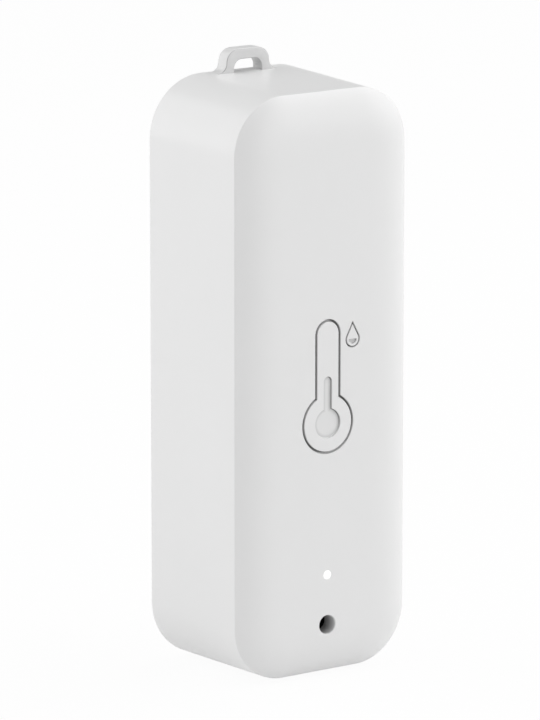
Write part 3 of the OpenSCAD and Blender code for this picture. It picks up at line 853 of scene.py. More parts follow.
class Maker:
    """Turns meshes into finished pieces of the frame."""

    sharp = math.radians(40)
    bevel_from = math.radians(35)
    bevel_steps = 2
    flat_within = math.radians(0.6)
    merge_within = 0.002

    @staticmethod
    def place(name: str, mesh: bpy.types.Mesh) -> bpy.types.Object:
        """Put a mesh into the scene.

        Args:
            name: The object's name.
            mesh: The mesh, which keeps its place.

        Returns:
            The new object, at the origin.
        """
        made = bpy.data.objects.new(name, mesh)
        bpy.context.scene.collection.objects.link(made)
        return made

    @staticmethod
    def bake(piece: bpy.types.Object) -> None:
        """Turn a piece and its modifiers into a plain mesh.

        Args:
            piece: The piece, which loses its modifiers.
        """
        bpy.context.view_layer.update()
        graph = bpy.context.evaluated_depsgraph_get()
        mesh = bpy.data.meshes.new_from_object(piece.evaluated_get(graph), depsgraph=graph)
        mesh.name = piece.name
        piece.modifiers.clear()
        piece.data = mesh

    @classmethod
    def smooth(cls, piece: bpy.types.Object) -> None:
        """Shade a piece smoothly, led by its large faces, with sharp edges kept.

        Args:
            piece: The piece.
        """
        piece.data.shade_smooth()
        piece.data.set_sharp_from_angle(angle=cls.sharp)
        even = piece.modifiers.new("even", "WEIGHTED_NORMAL")
        even.keep_sharp = True
        cls.bake(piece)

    @staticmethod
    def finish(
        piece: bpy.types.Object,
        finish: Finish | None,
        body: Body,
        slot: str,
        nodes: Sequence[str] = (),
    ) -> None:
        """Dress a piece and tie it to the frame.

        Args:
            piece: The finished mesh object.
            finish: What it is made of, or None where the mesh has its materials.
            body: The CAD body that it moves with.
            slot: The record's material slot; not used.
            nodes: The CAD nodes that it stands for.
        """
        if finish is not None:
            piece.data.materials.clear()
            piece.data.materials.append(finish.material())
        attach(piece, body.value)
        if nodes:
            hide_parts(*nodes)
        log.info("%s: %d faces on %s", piece.name, len(piece.data.polygons), body.value)

    @classmethod
    def soften(cls, node: str, name: str, width: float) -> bpy.types.Object:
        """Copy a CAD node and round its edges.

        Args:
            node: The CAD node.
            name: The new piece's name.
            width: The width of the rounding, in millimetres.

        Returns:
            The new piece, not yet tied to the frame.
        """
        work = bmesh.new()
        work.from_mesh(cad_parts[node].data)
        bmesh.ops.remove_doubles(work, verts=work.verts, dist=cls.merge_within * MM)
        bmesh.ops.dissolve_limit(
            work, angle_limit=cls.flat_within, verts=work.verts, edges=work.edges
        )
        mesh = bpy.data.meshes.new(name)
        work.to_mesh(mesh)
        work.free()
        piece = cls.place(name, mesh)
        edge = piece.modifiers.new("edge", "BEVEL")
        edge.width = width * MM
        edge.segments = cls.bevel_steps
        edge.limit_method = "ANGLE"
        edge.angle_limit = cls.bevel_from
        edge.use_clamp_overlap = True
        cls.bake(piece)
        cls.smooth(piece)
        return piece

    @classmethod
    def shape(
        cls,
        name: str,
        sketch: Sketch,
        finish: Finish,
        body: Body,
        slot: str,
        nodes: Sequence[str] = (),
    ) -> None:
        """Make a smooth piece from a sketch, dress it and tie it to the frame.

        Args:
            name: The piece's name.
            sketch: Its mesh.
            finish: What it is made of.
            body: The CAD body that it moves with.
            slot: The record's material slot.
            nodes: The CAD nodes that it stands for.
        """
        piece = cls.place(name, sketch.mesh(name))
        cls.smooth(piece)
        cls.finish(piece, finish, body, slot, nodes)

    @staticmethod
    def cut(piece: bpy.types.Object, cutter: Sketch) -> None:
        """Cut a closed form out of a piece.

        Args:
            piece: The piece that is cut.
            cutter: The form that is taken away.
        """
        tool = Maker.place("cutter", cutter.mesh("cutter"))
        cutting = piece.modifiers.new("cut", "BOOLEAN")
        cutting.operation = "DIFFERENCE"
        cutting.solver = "EXACT"
        cutting.object = tool
        Maker.bake(piece)
        bpy.data.objects.remove(tool)


# Geometry Nodes


class NodeGrowth:
    """A Geometry Nodes tree with named inputs, run once on an object."""

    kinds = {"Float": "NodeSocketFloat", "Int": "NodeSocketInt", "Vector": "NodeSocketVector",
             "Object": "NodeSocketObject", "Material": "NodeSocketMaterial"}

    def __init__(self, name: str) -> None:
        """Start a tree that passes geometry in and out.

        Args:
            name: The tree's name.
        """
        group = bpy.data.node_groups.new(name, "GeometryNodeTree")
        self.tree = Tree(group)
        self.values: dict[str, object] = {}
        group.interface.new_socket("Geometry", in_out="INPUT", socket_type="NodeSocketGeometry")
        group.interface.new_socket("Geometry", in_out="OUTPUT", socket_type="NodeSocketGeometry")
        self.entry = group.nodes.new("NodeGroupInput")

    def size(self, name: str, kind: str, value: object) -> Wire:
        """Add a named input.

        Args:
            name: The input's name.
            kind: One of the kinds above.
            value: What it is set to when the tree runs.

        Returns:
            The input, ready for expressions.
        """
        group = self.tree.tree
        item = group.interface.new_socket(name, in_out="INPUT", socket_type=self.kinds[kind])
        self.values[item.identifier] = value
        found = next(s for s in self.entry.outputs if s.identifier == item.identifier)
        return Wire(self.tree, found)

    def geometry(self) -> Wire:
        """Return the geometry that comes in."""
        return Wire(self.tree, self.entry.outputs[0])

    def run(self, piece: bpy.types.Object, result: Wire) -> None:
        """Run the tree on a piece and keep its plain mesh.

        Args:
            piece: The object whose geometry goes in.
            result: The geometry that comes out, with its materials set.
        """
        group = self.tree.tree
        self.tree.node("NodeGroupOutput", None, {"Geometry": result})
        grown = piece.modifiers.new(group.name, "NODES")
        grown.node_group = group
        for identifier, value in self.values.items():
            grown[identifier] = value
        Maker.bake(piece)


def scattered(
    name: str,
    kinds: Sequence[tuple[bpy.types.Mesh, Finish]],
    places: Sequence[Point],
    slot: str,
    nodes: Sequence[str] = (),
) -> None:
    """Set copies of small meshes at each place, by Geometry Nodes, as one piece of the housing.

    Args:
        name: The new piece's name.
        kinds: Each mesh, drawn about the origin, and its finish.
        places: The places, in millimetres.
        slot: The record's material slot.
        nodes: The CAD nodes that the piece stands for.
    """
    sketch = Sketch()
    sketch.ring(places)
    piece = Maker.place(name, sketch.mesh(name))
    growth = NodeGrowth(name + "_copies")
    tree = growth.tree
    size = growth.size("Size", "Float", 1.0)
    parts = tree.node("GeometryNodeJoinGeometry")
    masters = []
    for i, (mesh, finish) in enumerate(kinds):
        master = Maker.place(f"{name}_master_{i}", mesh)
        masters.append(master)
        source = growth.size(f"Part {i}", "Object", master)
        stuff = growth.size(f"Finish {i}", "Material", finish.material())
        shape = tree.wire("GeometryNodeObjectInfo", None, {"Object": source}, "Geometry")
        sockets = {"Points": growth.geometry(), "Instance": shape, "Scale": size}
        copies = tree.wire("GeometryNodeInstanceOnPoints", None, sockets)
        whole = tree.wire("GeometryNodeRealizeInstances", None, {"Geometry": copies})
        sockets = {"Geometry": whole, "Material": stuff}
        dressed = tree.wire("GeometryNodeSetMaterial", None, sockets)
        tree.tree.links.new(dressed.socket, parts.inputs[0])
    growth.run(piece, Wire(tree, parts.outputs[0]))
    for master in masters:
        bpy.data.objects.remove(master)
    Maker.smooth(piece)
    Maker.finish(piece, None, Body.HOUSING, slot, nodes)


# Housing


@dataclass
class Engraving:
    """Thermometer and drop cut into the flat of the face."""

    bulb_z: float = 31.7
    bulb_r: float = 3.6
    tube_r: float = 1.71
    tube_h: float = 12.65
    line_w: float = 0.31
    line_d: float = 0.55
    pocket_d: float = 0.28
    # Painted shade in the cut lines and pockets, fading on the mercury's floor; top_light paints walls
    # that look up lighter.
    line_painted_shade: float = 0.9
    pocket_painted_shade: Pair = (0.6, 0.3)
    pocket_fade: Pair = (0.5, 0.05)
    fill_painted_shade: Pair = (0.7, 0.25)
    top_light: float = 1.2
    mercury_r: float = 0.6
    mercury_bulb_r: float = 1.85
    mercury_h: float = 5.75
    drop_x: float = 3.65
    drop_z: float = 41.65
    drop_r: float = 0.95
    drop_tip: float = 2.03
    drop_line_w: float = 0.205
    drop_fill_r: float = 0.58
    lip: float = 0.04
    root: float = 0.08
    pocket_root: float = 0.06
    floor_run: Pair = (1.2, 0.02)
    bulb_steps: int = 80
    drop_steps: int = 40
    round_steps: int = 32
    wall_steps: int = 3

    def thermometer(self, grow: float, bulb: float, tube: float, top: float) -> list[Pair]:
        """Return the outline of a bulb with a tube.

        Args:
            grow: How far the outline is grown.
            bulb: The bulb's radius.
            tube: Half the tube's width.
            top: The tube's top above the bulb's centre.

        Returns:
            A closed line of (x, z) points, the same number for every grow.
        """
        radius = bulb + grow
        half = tube + grow
        joint = math.degrees(math.asin(half / radius))
        line = arc((0.0, self.bulb_z), radius, 90 - joint, 2 * joint - 360, self.bulb_steps)
        return line + arc((0.0, self.bulb_z + top - tube), half, 180, -180, self.round_steps)

    def tube(self, grow: float) -> list[Pair]:
        """Return the thermometer's outline, grown."""
        return self.thermometer(grow, self.bulb_r, self.tube_r, self.tube_h)

    def mercury(self, grow: float) -> list[Pair]:
        """Return the outline of the column and its bulb, grown."""
        return self.thermometer(grow, self.mercury_bulb_r, self.mercury_r, self.mercury_h)

    def drop(self, grow: float) -> list[Pair]:
        """Draw the drop's outline.

        Args:
            grow: How far the outline is grown.

        Returns:
            A closed line of (x, z) points.
        """
        radius = self.drop_r + grow
        lean = math.degrees(math.asin(self.drop_r / self.drop_tip))
        line = arc((self.drop_x, self.drop_z), radius, lean, -180 - 2 * lean, self.drop_steps)
        return line + [(self.drop_x, self.drop_z + self.drop_tip * radius / self.drop_r)]

    def drop_fill(self, grow: float) -> list[Pair]:
        """Draw the outline of the drop's lower half.

        Args:
            grow: How far the outline is grown.

        Returns:
            A closed line of (x, z) points.
        """
        radius = self.drop_fill_r + grow
        start = math.degrees(math.asin(grow / radius))
        return arc((self.drop_x, self.drop_z), radius, start, -180 - 2 * start, self.round_steps)

    def wall(self, half: float, depth: float, root: float, recess: Pair) -> list[CutPoint]:
        """Return one side of a cut, from the face to the floor.

        Args:
            half: How far the wall stands from the cut's middle line.
            depth: How deep the cut is.
            root: The radius at the floor.
            recess: The painted shade at the foot of the wall and on the floor, from 0 to 1.

        Returns:
            The points of the side.
        """
        share, gap = self.floor_run
        corners = [
            (half + 2 * self.lip, 0.0, 0.0),
            (half, 0.0, self.lip),
            (half, depth, root),
            (half - share * root - gap, depth, 0.0),
        ]
        line = rounded(corners, self.wall_steps)
        foot = depth - root
        # Painted shade grows with depth down the wall.
        side = [CutPoint(g, d, recess[0] * min(1.0, d / foot), 1.0) for g, d in line[:-1]]
        return [*side, CutPoint(*line[-1], recess[1], 0.0)]

    def groove(self, width: float) -> list[CutPoint]:
        """Draw the section of a cut line.

        Args:
            width: The line's width.

        Returns:
            The section's points, from its outer to its inner side.
        """
        root = min(self.root, width / 4)
        side = self.wall(width / 2, self.line_d, root, (self.line_painted_shade, self.line_painted_shade))
        return side + [CutPoint(-g, d, recess, -facing) for g, d, recess, facing in reversed(side)]

    def pocket(self, recess: Pair) -> list[CutPoint]:
        """Return the section of a pocket's side, with the painted shade of its wall and its floor."""
        return self.wall(0.0, self.pocket_d, self.pocket_root, recess)

    def basin(self) -> list[CutPoint]:
        """Return the section of the mercury's side, whose floor's painted shade gets lighter away from
        the wall.
        """
        inset, recess = self.pocket_fade
        return [*self.pocket(self.pocket_painted_shade), CutPoint(-inset, self.pocket_d, recess, 0.0)]

    def shade(self, line: Sequence[Pair], point: CutPoint) -> list[float]:
        """Return the painted shade along a ring of a cut, painted lighter on walls that look up.

        Args:
            line: The ring's (x, z) points, clockwise.
            point: The section's point that the ring belongs to.

        Returns:
            The painted shade of each point, from 0 to 1.
        """
        values = []
        for i in range(len(line)):
            (x0, z0), (x1, z1) = line[i - 1], line[(i + 1) % len(line)]
            outward_up = (x1 - x0) / math.hypot(x1 - x0, z1 - z0)
            # Painted light: walls that look up get less painted shade and walls that look down get
            # more.
            lit = 1 + point.facing * self.top_light * outward_up
            values.append(min(1.0, max(0.0, point.recess * lit)))
        return values


@dataclass
class FrontShell:
    """The white moulding: drafted sides, crowned face, engraving, air port and rear rim."""

    core_x: float = 5.5
    core_z: float = 28.7
    mid_z: float = 36.2
    rear_r: float = 7.5
    crease_r: float = 7.0
    crown_power: float = 3.46
    crown_end_r: float = 2.8
    wall: float = 1.6
    front_y: float = FACE_Y
    crease_y: float = -7.8
    inner_y: float = INNER_Y
    rear_y: float = 9.5
    crease_edge: float = 0.12
    rim_edges: Pair = (0.15, 0.2)
    inner_edge: float = 0.3
    inner_run: float = 0.5
    vent_r: float = 1.17
    vent_z: float = 6.68
    vent_end_y: float = -7.2
    vent_run: float = 0.4
    vent_lip: float = 0.08
    vent_lip_edge: float = 0.02
    vent_steps: Pair = (0.5, 1.2)
    vent_end_edges: Pair = (0.05, 0.1)
    vent_boss_r: float = 2.3
    # Painted shade at the inner end of the air port.
    vent_painted_shade: float = 0.75
    window_r: float = 0.59
    window_z: float = WINDOW_Z
    window_run: float = 0.5
    window_edge: float = 0.03
    notch_r: float = 4.0
    notch_z: float = -2.2
    notch_d: float = 0.9
    notch_edge: float = 0.25
    notch_over: float = 0.3
    seed_rows: int = 7
    seed_end: float = 7.5
    seed_density: float = 4.0
    seed_gap: float = 0.7
    crown_steps: int = 24
    hole_steps: int = 64
    corner_steps: int = 28
    side_steps: tuple[int, int] = (6, 28)
    engraving: Engraving = field(default_factory=Engraving)

    def outline(self, radius: float, depth: float, corner_steps: int | None = None) -> list[Point]:
        """Return a ring round the housing.

        Args:
            radius: The corner radius of the ring.
            depth: Its place along Y.
            corner_steps: The pieces in each corner, or None for the usual number.

        Returns:
            The ring's points, the same number for every ring.
        """
        steps = corner_steps or self.corner_steps
        ring: list[Point] = []
        for i, (sx, sz) in enumerate(((1, 1), (-1, 1), (-1, -1), (1, -1))):
            centre = (sx * self.core_x, self.mid_z + sz * self.core_z)
            turn = arc(centre, radius, 90 * i, 90, steps)
            count = self.side_steps[i % 2]
            run = 2 * (self.core_x, self.core_z)[i % 2] / count
            ahead = ((-1, 0), (0, -1), (1, 0), (0, 1))[i]
            x, z = turn[-1]
            turn += [(x + ahead[0] * run * k, z + ahead[1] * run * k) for k in range(1, count)]
            ring.extend((x, depth, z) for x, z in turn)
        return ring

    def crown(self, radius: float) -> float:
        """Return how far the crowned face has fallen back at a ring of that corner radius."""
        return (self.crease_y - self.front_y) * (radius / self.crease_r) ** self.crown_power

    def fall(self, x: float, z: float) -> float:
        """Work out how far the crowned face falls back.

        Args:
            x: A point's place across the face.
            z: Its height.

        Returns:
            The distance behind the middle of the face.
        """
        across = max(abs(x) - self.core_x, 0.0)
        along = max(abs(z - self.mid_z) - self.core_z, 0.0)
        return self.crown(math.hypot(across, along))

    def seeds(self, sketch: Sketch) -> list[int]:
        """Add the points that carry the crown on across the face, clear of the air port.

        Args:
            sketch: The mesh that they are added to.

        Returns:
            The numbers of the points.
        """
        points: list[Point] = []
        for k in range(1, self.seed_rows + 1):
            radius = self.crown_end_r * (1 - k / self.seed_end)
            steps = max(2, round(self.seed_density * radius))
            for x, _, z in self.outline(radius, 0.0, steps):
                if math.hypot(x, z - self.vent_z) > self.vent_r + self.seed_gap:
                    points.append((x, self.front_y + self.fall(x, z), z))
        return sketch.ring(points)

    def section(self) -> list[Pair]:
        """Draw the wall's section, from inside the front wall round the rim to the face.

        Returns:
            (corner radius, depth) points.
        """
        draft = (self.rear_r - self.crease_r) / (self.rear_y - self.crease_y)
        inner_r = self.rear_r - self.wall - draft * (self.rear_y - self.inner_y)
        corners = [
            (inner_r - self.inner_run, self.inner_y, 0.0),
            (inner_r, self.inner_y, self.inner_edge),
            (self.rear_r - self.wall, self.rear_y, self.rim_edges[0]),
            (self.rear_r, self.rear_y, self.rim_edges[1]),
            (self.crease_r, self.crease_y, self.crease_edge),
        ]
        for k in range(1, self.crown_steps + 1):
            radius = self.crease_r + (self.crown_end_r - self.crease_r) * k / self.crown_steps
            corners.append((radius, self.front_y + self.crown(radius), 0.0))
        return rounded(corners)

    def hole(
        self, sketch: Sketch, centre_z: float, line: Sequence[Pair], recess: float = 0.0
    ) -> list[list[int]]:
        """Add the wall of a round hole through the front.

        Args:
            sketch: The mesh that it is added to.
            centre_z: The hole's height.
            line: (radius, depth) points from the face inwards.
            recess: The painted shade at its inner end, from 0 to 1.

        Returns:
            The hole's rings in the same order.
        """
        end = max(depth for _, depth in line)
        rings = []
        for radius, depth in line:
            circle = arc((0.0, centre_z), radius, 0, 360, self.hole_steps)[:-1]
            share = (depth - self.front_y) / (end - self.front_y)
            points = [(x, depth + self.fall(x, z) * (1 - share), z) for x, z in circle]
            # Painted shade grows towards the hole's inner end.
            rings.append(sketch.ring(points, recess * share))
        sketch.loft(rings)
        return rings

    def cut_line(
        self, sketch: Sketch, outline: Callable[[float], list[Pair]], section: Sequence[CutPoint]
    ) -> list[list[int]]:
        """Add an engraved line or the side of a pocket.

        Args:
            sketch: The mesh that it is added to.
            outline: A function from grow to a closed (x, z) line.
            section: The section's points.

        Returns:
            The rings, in the section's order.
        """
        rings = []
        for point in section:
            line = outline(point.grow)
            ring = sketch.ring([(x, self.front_y + point.depth, z) for x, z in line])
            # Painted shade of the ring, lighter on walls that look up.
            sketch.recess.update(zip(ring, self.engraving.shade(line, point)))
            rings.append(ring)
        sketch.loft(rings)
        return rings

    def vent(self, sketch: Sketch) -> list[list[int]]:
        """Add the air port, with its lip outside and its short boss inside.

        Args:
            sketch: The mesh that it is added to.

        Returns:
            Its rings, from the face inwards.
        """
        near, far = self.vent_steps
        bore_edge, boss_edge = self.vent_end_edges
        line = rounded([
            (self.vent_r + self.vent_run, self.front_y, 0.0),
            (self.vent_r + self.vent_lip, self.front_y, self.vent_lip_edge),
            (self.vent_r, self.front_y + self.vent_lip, self.vent_lip_edge),
            (self.vent_r, self.front_y + near, 0.0),
            (self.vent_r, self.front_y + far, 0.0),
            (self.vent_r, self.vent_end_y, bore_edge),
            (self.vent_boss_r, self.vent_end_y, boss_edge),
            (self.vent_boss_r, self.inner_y, 0.0),
        ])
        return self.hole(sketch, self.vent_z, line, self.vent_painted_shade)

    def window(self, sketch: Sketch) -> list[list[int]]:
        """Add the hole of the indicator window.

        Args:
            sketch: The mesh that it is added to.

        Returns:
            Its rings, from the face inwards.
        """
        line = rounded([
            (self.window_r + self.window_run, self.front_y, 0.0),
            (self.window_r, self.front_y, self.window_edge),
            (self.window_r, self.inner_y, 0.0),
        ], 3)
        return self.hole(sketch, self.window_z, line)

    def notch(self) -> Sketch:
        """Draw the form of the finger notch in the lower rim.

        Returns:
            The form that is cut out of the shell.
        """
        depth = self.notch_d + self.notch_over
        line = rounded([
            (0.0, 0.0, 0.0),
            (self.notch_r, 0.0, self.notch_edge),
            (self.notch_r, depth, 0.0),
            (0.0, depth, 0.0),
        ])
        sketch = Sketch()
        sketch.turn(line, (0.0, self.rear_y - self.notch_d, self.notch_z), Axis.REAR)
        return sketch

    def build(self) -> None:
        """Build the shell's skin and tie it to the frame."""
        sketch = Sketch()
        rings = [sketch.ring(self.outline(r, y)) for r, y in self.section()]
        sketch.loft(rings)
        mark = self.engraving
        tube = self.cut_line(sketch, mark.tube, mark.groove(mark.line_w))
        mercury = self.cut_line(sketch, mark.mercury, mark.basin())
        drop = self.cut_line(sketch, mark.drop, mark.groove(mark.drop_line_w))
        half = self.cut_line(sketch, mark.drop_fill, mark.pocket(mark.fill_painted_shade))
        vent = self.vent(sketch)
        window = self.window(sketch)
        sketch.fill(rings[-1], (tube[0], drop[0], vent[0], window[0]), self.seeds(sketch))
        sketch.fill(tube[-1], (mercury[0],))
        sketch.fill(drop[-1], (half[0],))
        sketch.fill(mercury[-1])
        sketch.fill(half[-1])
        sketch.fill(rings[0], (vent[-1], window[-1]))
        piece = Maker.place("shell_skin", sketch.mesh("shell_skin"))
        Maker.cut(piece, self.notch())
        Maker.smooth(piece)
        Maker.finish(piece, WHITE_SHELL, Body.HOUSING, "shell_plastic", ("front_shell",))


@dataclass
class HangingLoop:
    """The small arch on the top face that a cord goes through."""

    half_w: float = 3.15
    height: float = 2.86
    leg: float = 1.15
    bar: float = 1.3
    outer_r: Pair = (1.75, 1.65)
    inner_r: float = 1.1
    flare: Pair = (1.25, 1.2)
    front_y: float = 7.25
    rear_y: float = 9.2
    base_z: float = 72.34
    sink: float = 0.5
    edge: float = 0.15
    # Painted shade of the loop: inside the arch, on its front, on its outer sides, and a dark line
    # along the outer front edges of its legs.
    inner_painted_shade: float = 0.45
    front_painted_shade: float = 0.2
    outer_painted_shade: float = 0.1
    edge_painted_shade: float = 0.75
    foot_steps: int = 8
    corner_steps: int = 12
    edge_steps: int = 5

    def sides(self) -> tuple[list[Pair], list[Pair]]:
        """Draw the arch's left half.

        Returns:
            Its outer and its inner line, from foot to top.
        """
        run, rise = self.flare
        outer = [(-self.half_w - run, -self.sink)]
        for u, v in arc((0.0, 0.0), 1.0, -90, 90, self.foot_steps):
            outer.append((u * run - self.half_w - run, (v + 1) * rise))
        across, down = self.outer_r
        for u, v in arc((0.0, 0.0), 1.0, 180, -90, self.corner_steps):
            outer.append(((u + 1) * across - self.half_w, (v - 1) * down + self.height))
        inner_x = self.leg - self.half_w
        turn_z = self.height - self.bar - self.inner_r
        inner = [(inner_x, -self.sink)]
        inner += [(inner_x, turn_z * k / self.foot_steps) for k in range(self.foot_steps + 1)]
        centre = (inner_x + self.inner_r, turn_z)
        inner += arc(centre, self.inner_r, 180, -90, self.corner_steps)
        return outer, inner

    def section(self, thick: float) -> list[Pair]:
        """Draw the bar's section.

        Args:
            thick: The bar's thickness.

        Returns:
            (outward, rearward) points, from the inner front edge.
        """
        depth = self.rear_y - self.front_y
        line: list[Pair] = []
        for i, (u, v) in enumerate(((0, 0), (thick, 0), (thick, depth), (0, depth))):
            centre = (u + (-self.edge if u else self.edge), v + (-self.edge if v else self.edge))
            line += arc(centre, self.edge, 180 + 90 * i, 90, self.edge_steps)
        return line

    def shade(self, place: Pair, thick: float, steep: float) -> float:
        """Return the painted shade of a point of the section.

        Args:
            place: The point, outward and rearward.
            thick: The bar's thickness there.
            steep: 1 on a leg, which looks sideways, and 0 on the top bar.

        Returns:
            The painted shade, from 0 to 1.
        """
        outward, rearward = place
        if outward < self.edge / 2:
            return self.inner_painted_shade
        if outward > thick - self.edge / 2 and rearward < self.edge / 2:
            return self.edge_painted_shade * steep
        return self.front_painted_shade if rearward < self.edge / 4 else self.outer_painted_shade

    def build(self) -> None:
        """Build the loop and tie it to the frame."""
        outer, inner = self.sides()
        outer += [(-x, z) for x, z in reversed(outer)]
        inner += [(-x, z) for x, z in reversed(inner)]
        sketch = Sketch()
        rings = []
        for out, inn in zip(outer, inner):
            away = Vector((out[0] - inn[0], 0.0, out[1] - inn[1]))
            thick = away.length
            away.normalize()
            line = self.section(thick)
            foot = Vector((inn[0], self.front_y, self.base_z + inn[1]))
            ring = sketch.ring(tuple(foot + away * u + Vector((0, v, 0))) for u, v in line)
            for number, place in zip(ring, line):
                sketch.recess[number] = self.shade(place, thick, abs(away.x))
            rings.append(ring)
        sketch.solid(rings)
        Maker.shape("hanging_loop", sketch, WHITE_SHELL, Body.HOUSING, "shell_plastic")


@dataclass
class ShellPosts:
    """Bosses for the screws, and posts and ribs for the chassis, inside the shell."""

    boss_x: float = SCREW_X
    boss_z: float = LOW_ROW_Z
    boss_r: float = 2.0
    boss_end_y: float = 1.0
    boss_edge: float = 0.2
    bore_r: float = 1.0
    bore_l: float = 6.0
    bore_edge: float = 0.15
    post_x: float = 8.5
    post_z: float = 66.15
    post_r: float = 1.2
    post_end_y: float = -3.9
    post_edge: float = 0.25
    root_y: float = -8.1
    rib_x: float = 4.5
    rib_w: float = 3.0
    rib_y: Pair = (-2.75, -1.55)
    rib_z: Pair = (68.25, 71.25)
    rib_edge: float = 0.25
    edge_steps: int = 3
    sides: int = 32

    def build(self) -> None:
        """Build the bosses, the posts and the ribs and tie them to the frame."""
        for name, sketch, x, y, z in (
            ("shell_bosses", self.boss(), self.boss_x, self.root_y, self.boss_z),
            ("shell_posts", self.post(), self.post_x, self.root_y, self.post_z),
            ("shell_ribs", self.rib(), self.rib_x, 0.0, 0.0),
        ):
            places = [(side * x, y, z) for side in BOTH_SIDES]
            scattered(name, ((sketch.mesh(name), WHITE_SHELL),), places, "shell_plastic")

    def pillar(self, corners: Sequence[Point]) -> Sketch:
        """Turn a line into a pillar.

        Args:
            corners: The line's (radius, height, rounding) corners.

        Returns:
            The pillar, at the origin and pointing to the rear.
        """
        sketch = Sketch()
        sketch.turn(rounded(corners, self.edge_steps), ORIGIN, Axis.REAR, self.sides)
        return sketch

    def boss(self) -> Sketch:
        """Draw a boss with the bore that a screw cuts into.

        Returns:
            The boss.
        """
        end = self.boss_end_y - self.root_y
        floor = end - self.bore_l
        return self.pillar([
            (0.0, 0.0, 0.0), (self.boss_r, 0.0, 0.0), (self.boss_r, end, self.boss_edge),
            (self.bore_r, end, self.bore_edge), (self.bore_r, floor, 0.0), (0.0, floor, 0.0),
        ])

    def post(self) -> Sketch:
        """Draw a plain post with a rounded end.

        Returns:
            The post.
        """
        end = self.post_end_y - self.root_y
        return self.pillar([
            (0.0, 0.0, 0.0), (self.post_r, 0.0, 0.0),
            (self.post_r, end, self.post_edge), (0.0, end, 0.0),
        ])

    def rib(self) -> Sketch:
        """Draw a rib that hangs from the roof and holds the chassis, with rounded free edges.

        Returns:
            The rib.
        """
        (near, far), (low, high) = self.rib_y, self.rib_z
        half, edge = self.rib_w / 2, self.rib_edge
        sketch = Sketch()
        rings = []
        for x, inset in ((-half, edge), (-half + edge, 0.0), (half - edge, 0.0), (half, edge)):
            bottom = low + inset
            side = rounded([
                (near, high, 0.0), (near, bottom, edge), (far, bottom, edge), (far, high, 0.0),
            ])
            rings.append(sketch.ring((x, y, z) for y, z in side))
        sketch.solid(rings)
        return sketch


@dataclass
class IndicatorWindow:
    """Light pipe whose tip shows as a white dot on the face."""

    tip_r: float = 0.57
    tip_line: tuple[Pair, ...] = ((0.0, 0.0), (0.25, 0.006), (0.45, 0.02))
    tip_rim: Pair = (0.5, 0.022)
    tip_edge: float = 0.04
    dome: float = 0.04
    front_y: float = FACE_Y
    flange_r: float = 1.2
    flange_y: Pair = (INNER_Y, -7.3)
    edge: float = 0.08
    edge_steps: int = 3
    end_y: float = -5.95
    height_z: float = WINDOW_Z
    sides: int = 48

    def build(self) -> None:
        """Build the pipe and tie it to the frame."""
        near, far, end = (y - self.front_y for y in (*self.flange_y, self.end_y))
        line = list(self.tip_line) + rounded([
            (*self.tip_rim, 0.0), (self.tip_r, self.dome, self.tip_edge), (self.tip_r, near, 0.0),
            (self.flange_r, near, self.edge), (self.flange_r, far, self.edge), (self.tip_r, far, 0.0),
            (self.tip_r, end, self.edge), (0.0, end, 0.0),
        ], self.edge_steps)
        sketch = Sketch()
        sketch.turn(line, (0.0, self.front_y, self.height_z), Axis.REAR, self.sides)
        nodes = ("light_pipe",)
        Maker.shape(
            "indicator_window", sketch, WINDOW_LIGHT, Body.HOUSING, "light_pipe_plastic", nodes
        )


# Inside and back


class RoundedCopy(NamedTuple):
    """A CAD solid that is shown as a copy with rounded edges."""

    node: str
    name: str
    edge: float
    finish: Finish
    slot: str
    body: Body = Body.HOUSING

    def build(self) -> None:
        """Make the copy and tie it to the frame."""
        piece = Maker.soften(self.node, self.name, self.edge)
        Maker.finish(piece, self.finish, self.body, self.slot, (self.node,))


@dataclass
class BackParts:
    """Chassis, door, contact plates and shield, which are the CAD solids with rounded edges."""

    chassis_edge: float = 0.1
    door_edge: float = 0.12
    plate_edge: float = 0.06
    shield_edge: float = 0.18

    def build(self) -> None:
        """Build the rounded copies and tie them to the frame."""
        frame_edge, door, plate = self.chassis_edge, self.door_edge, self.plate_edge
        for copy in (
            RoundedCopy("chassis", "chassis_frame", frame_edge, PALE_CHASSIS, "chassis_plastic"),
            RoundedCopy("battery_door", "door_panel", door, WHITE_DOOR, "door_plastic", Body.DOOR),
            RoundedCopy("negative_plate", "negative_contact", plate, NICKEL, "contact_nickel"),
            RoundedCopy("positive_plate", "positive_contact", plate, NICKEL, "contact_nickel"),
            RoundedCopy("bridge_plate", "bridge_contact", plate, NICKEL, "contact_nickel"),
            RoundedCopy("radio_shield", "shield_can", self.shield_edge, SHIELD_TIN, "shield_tin"),
        ):
            copy.build()


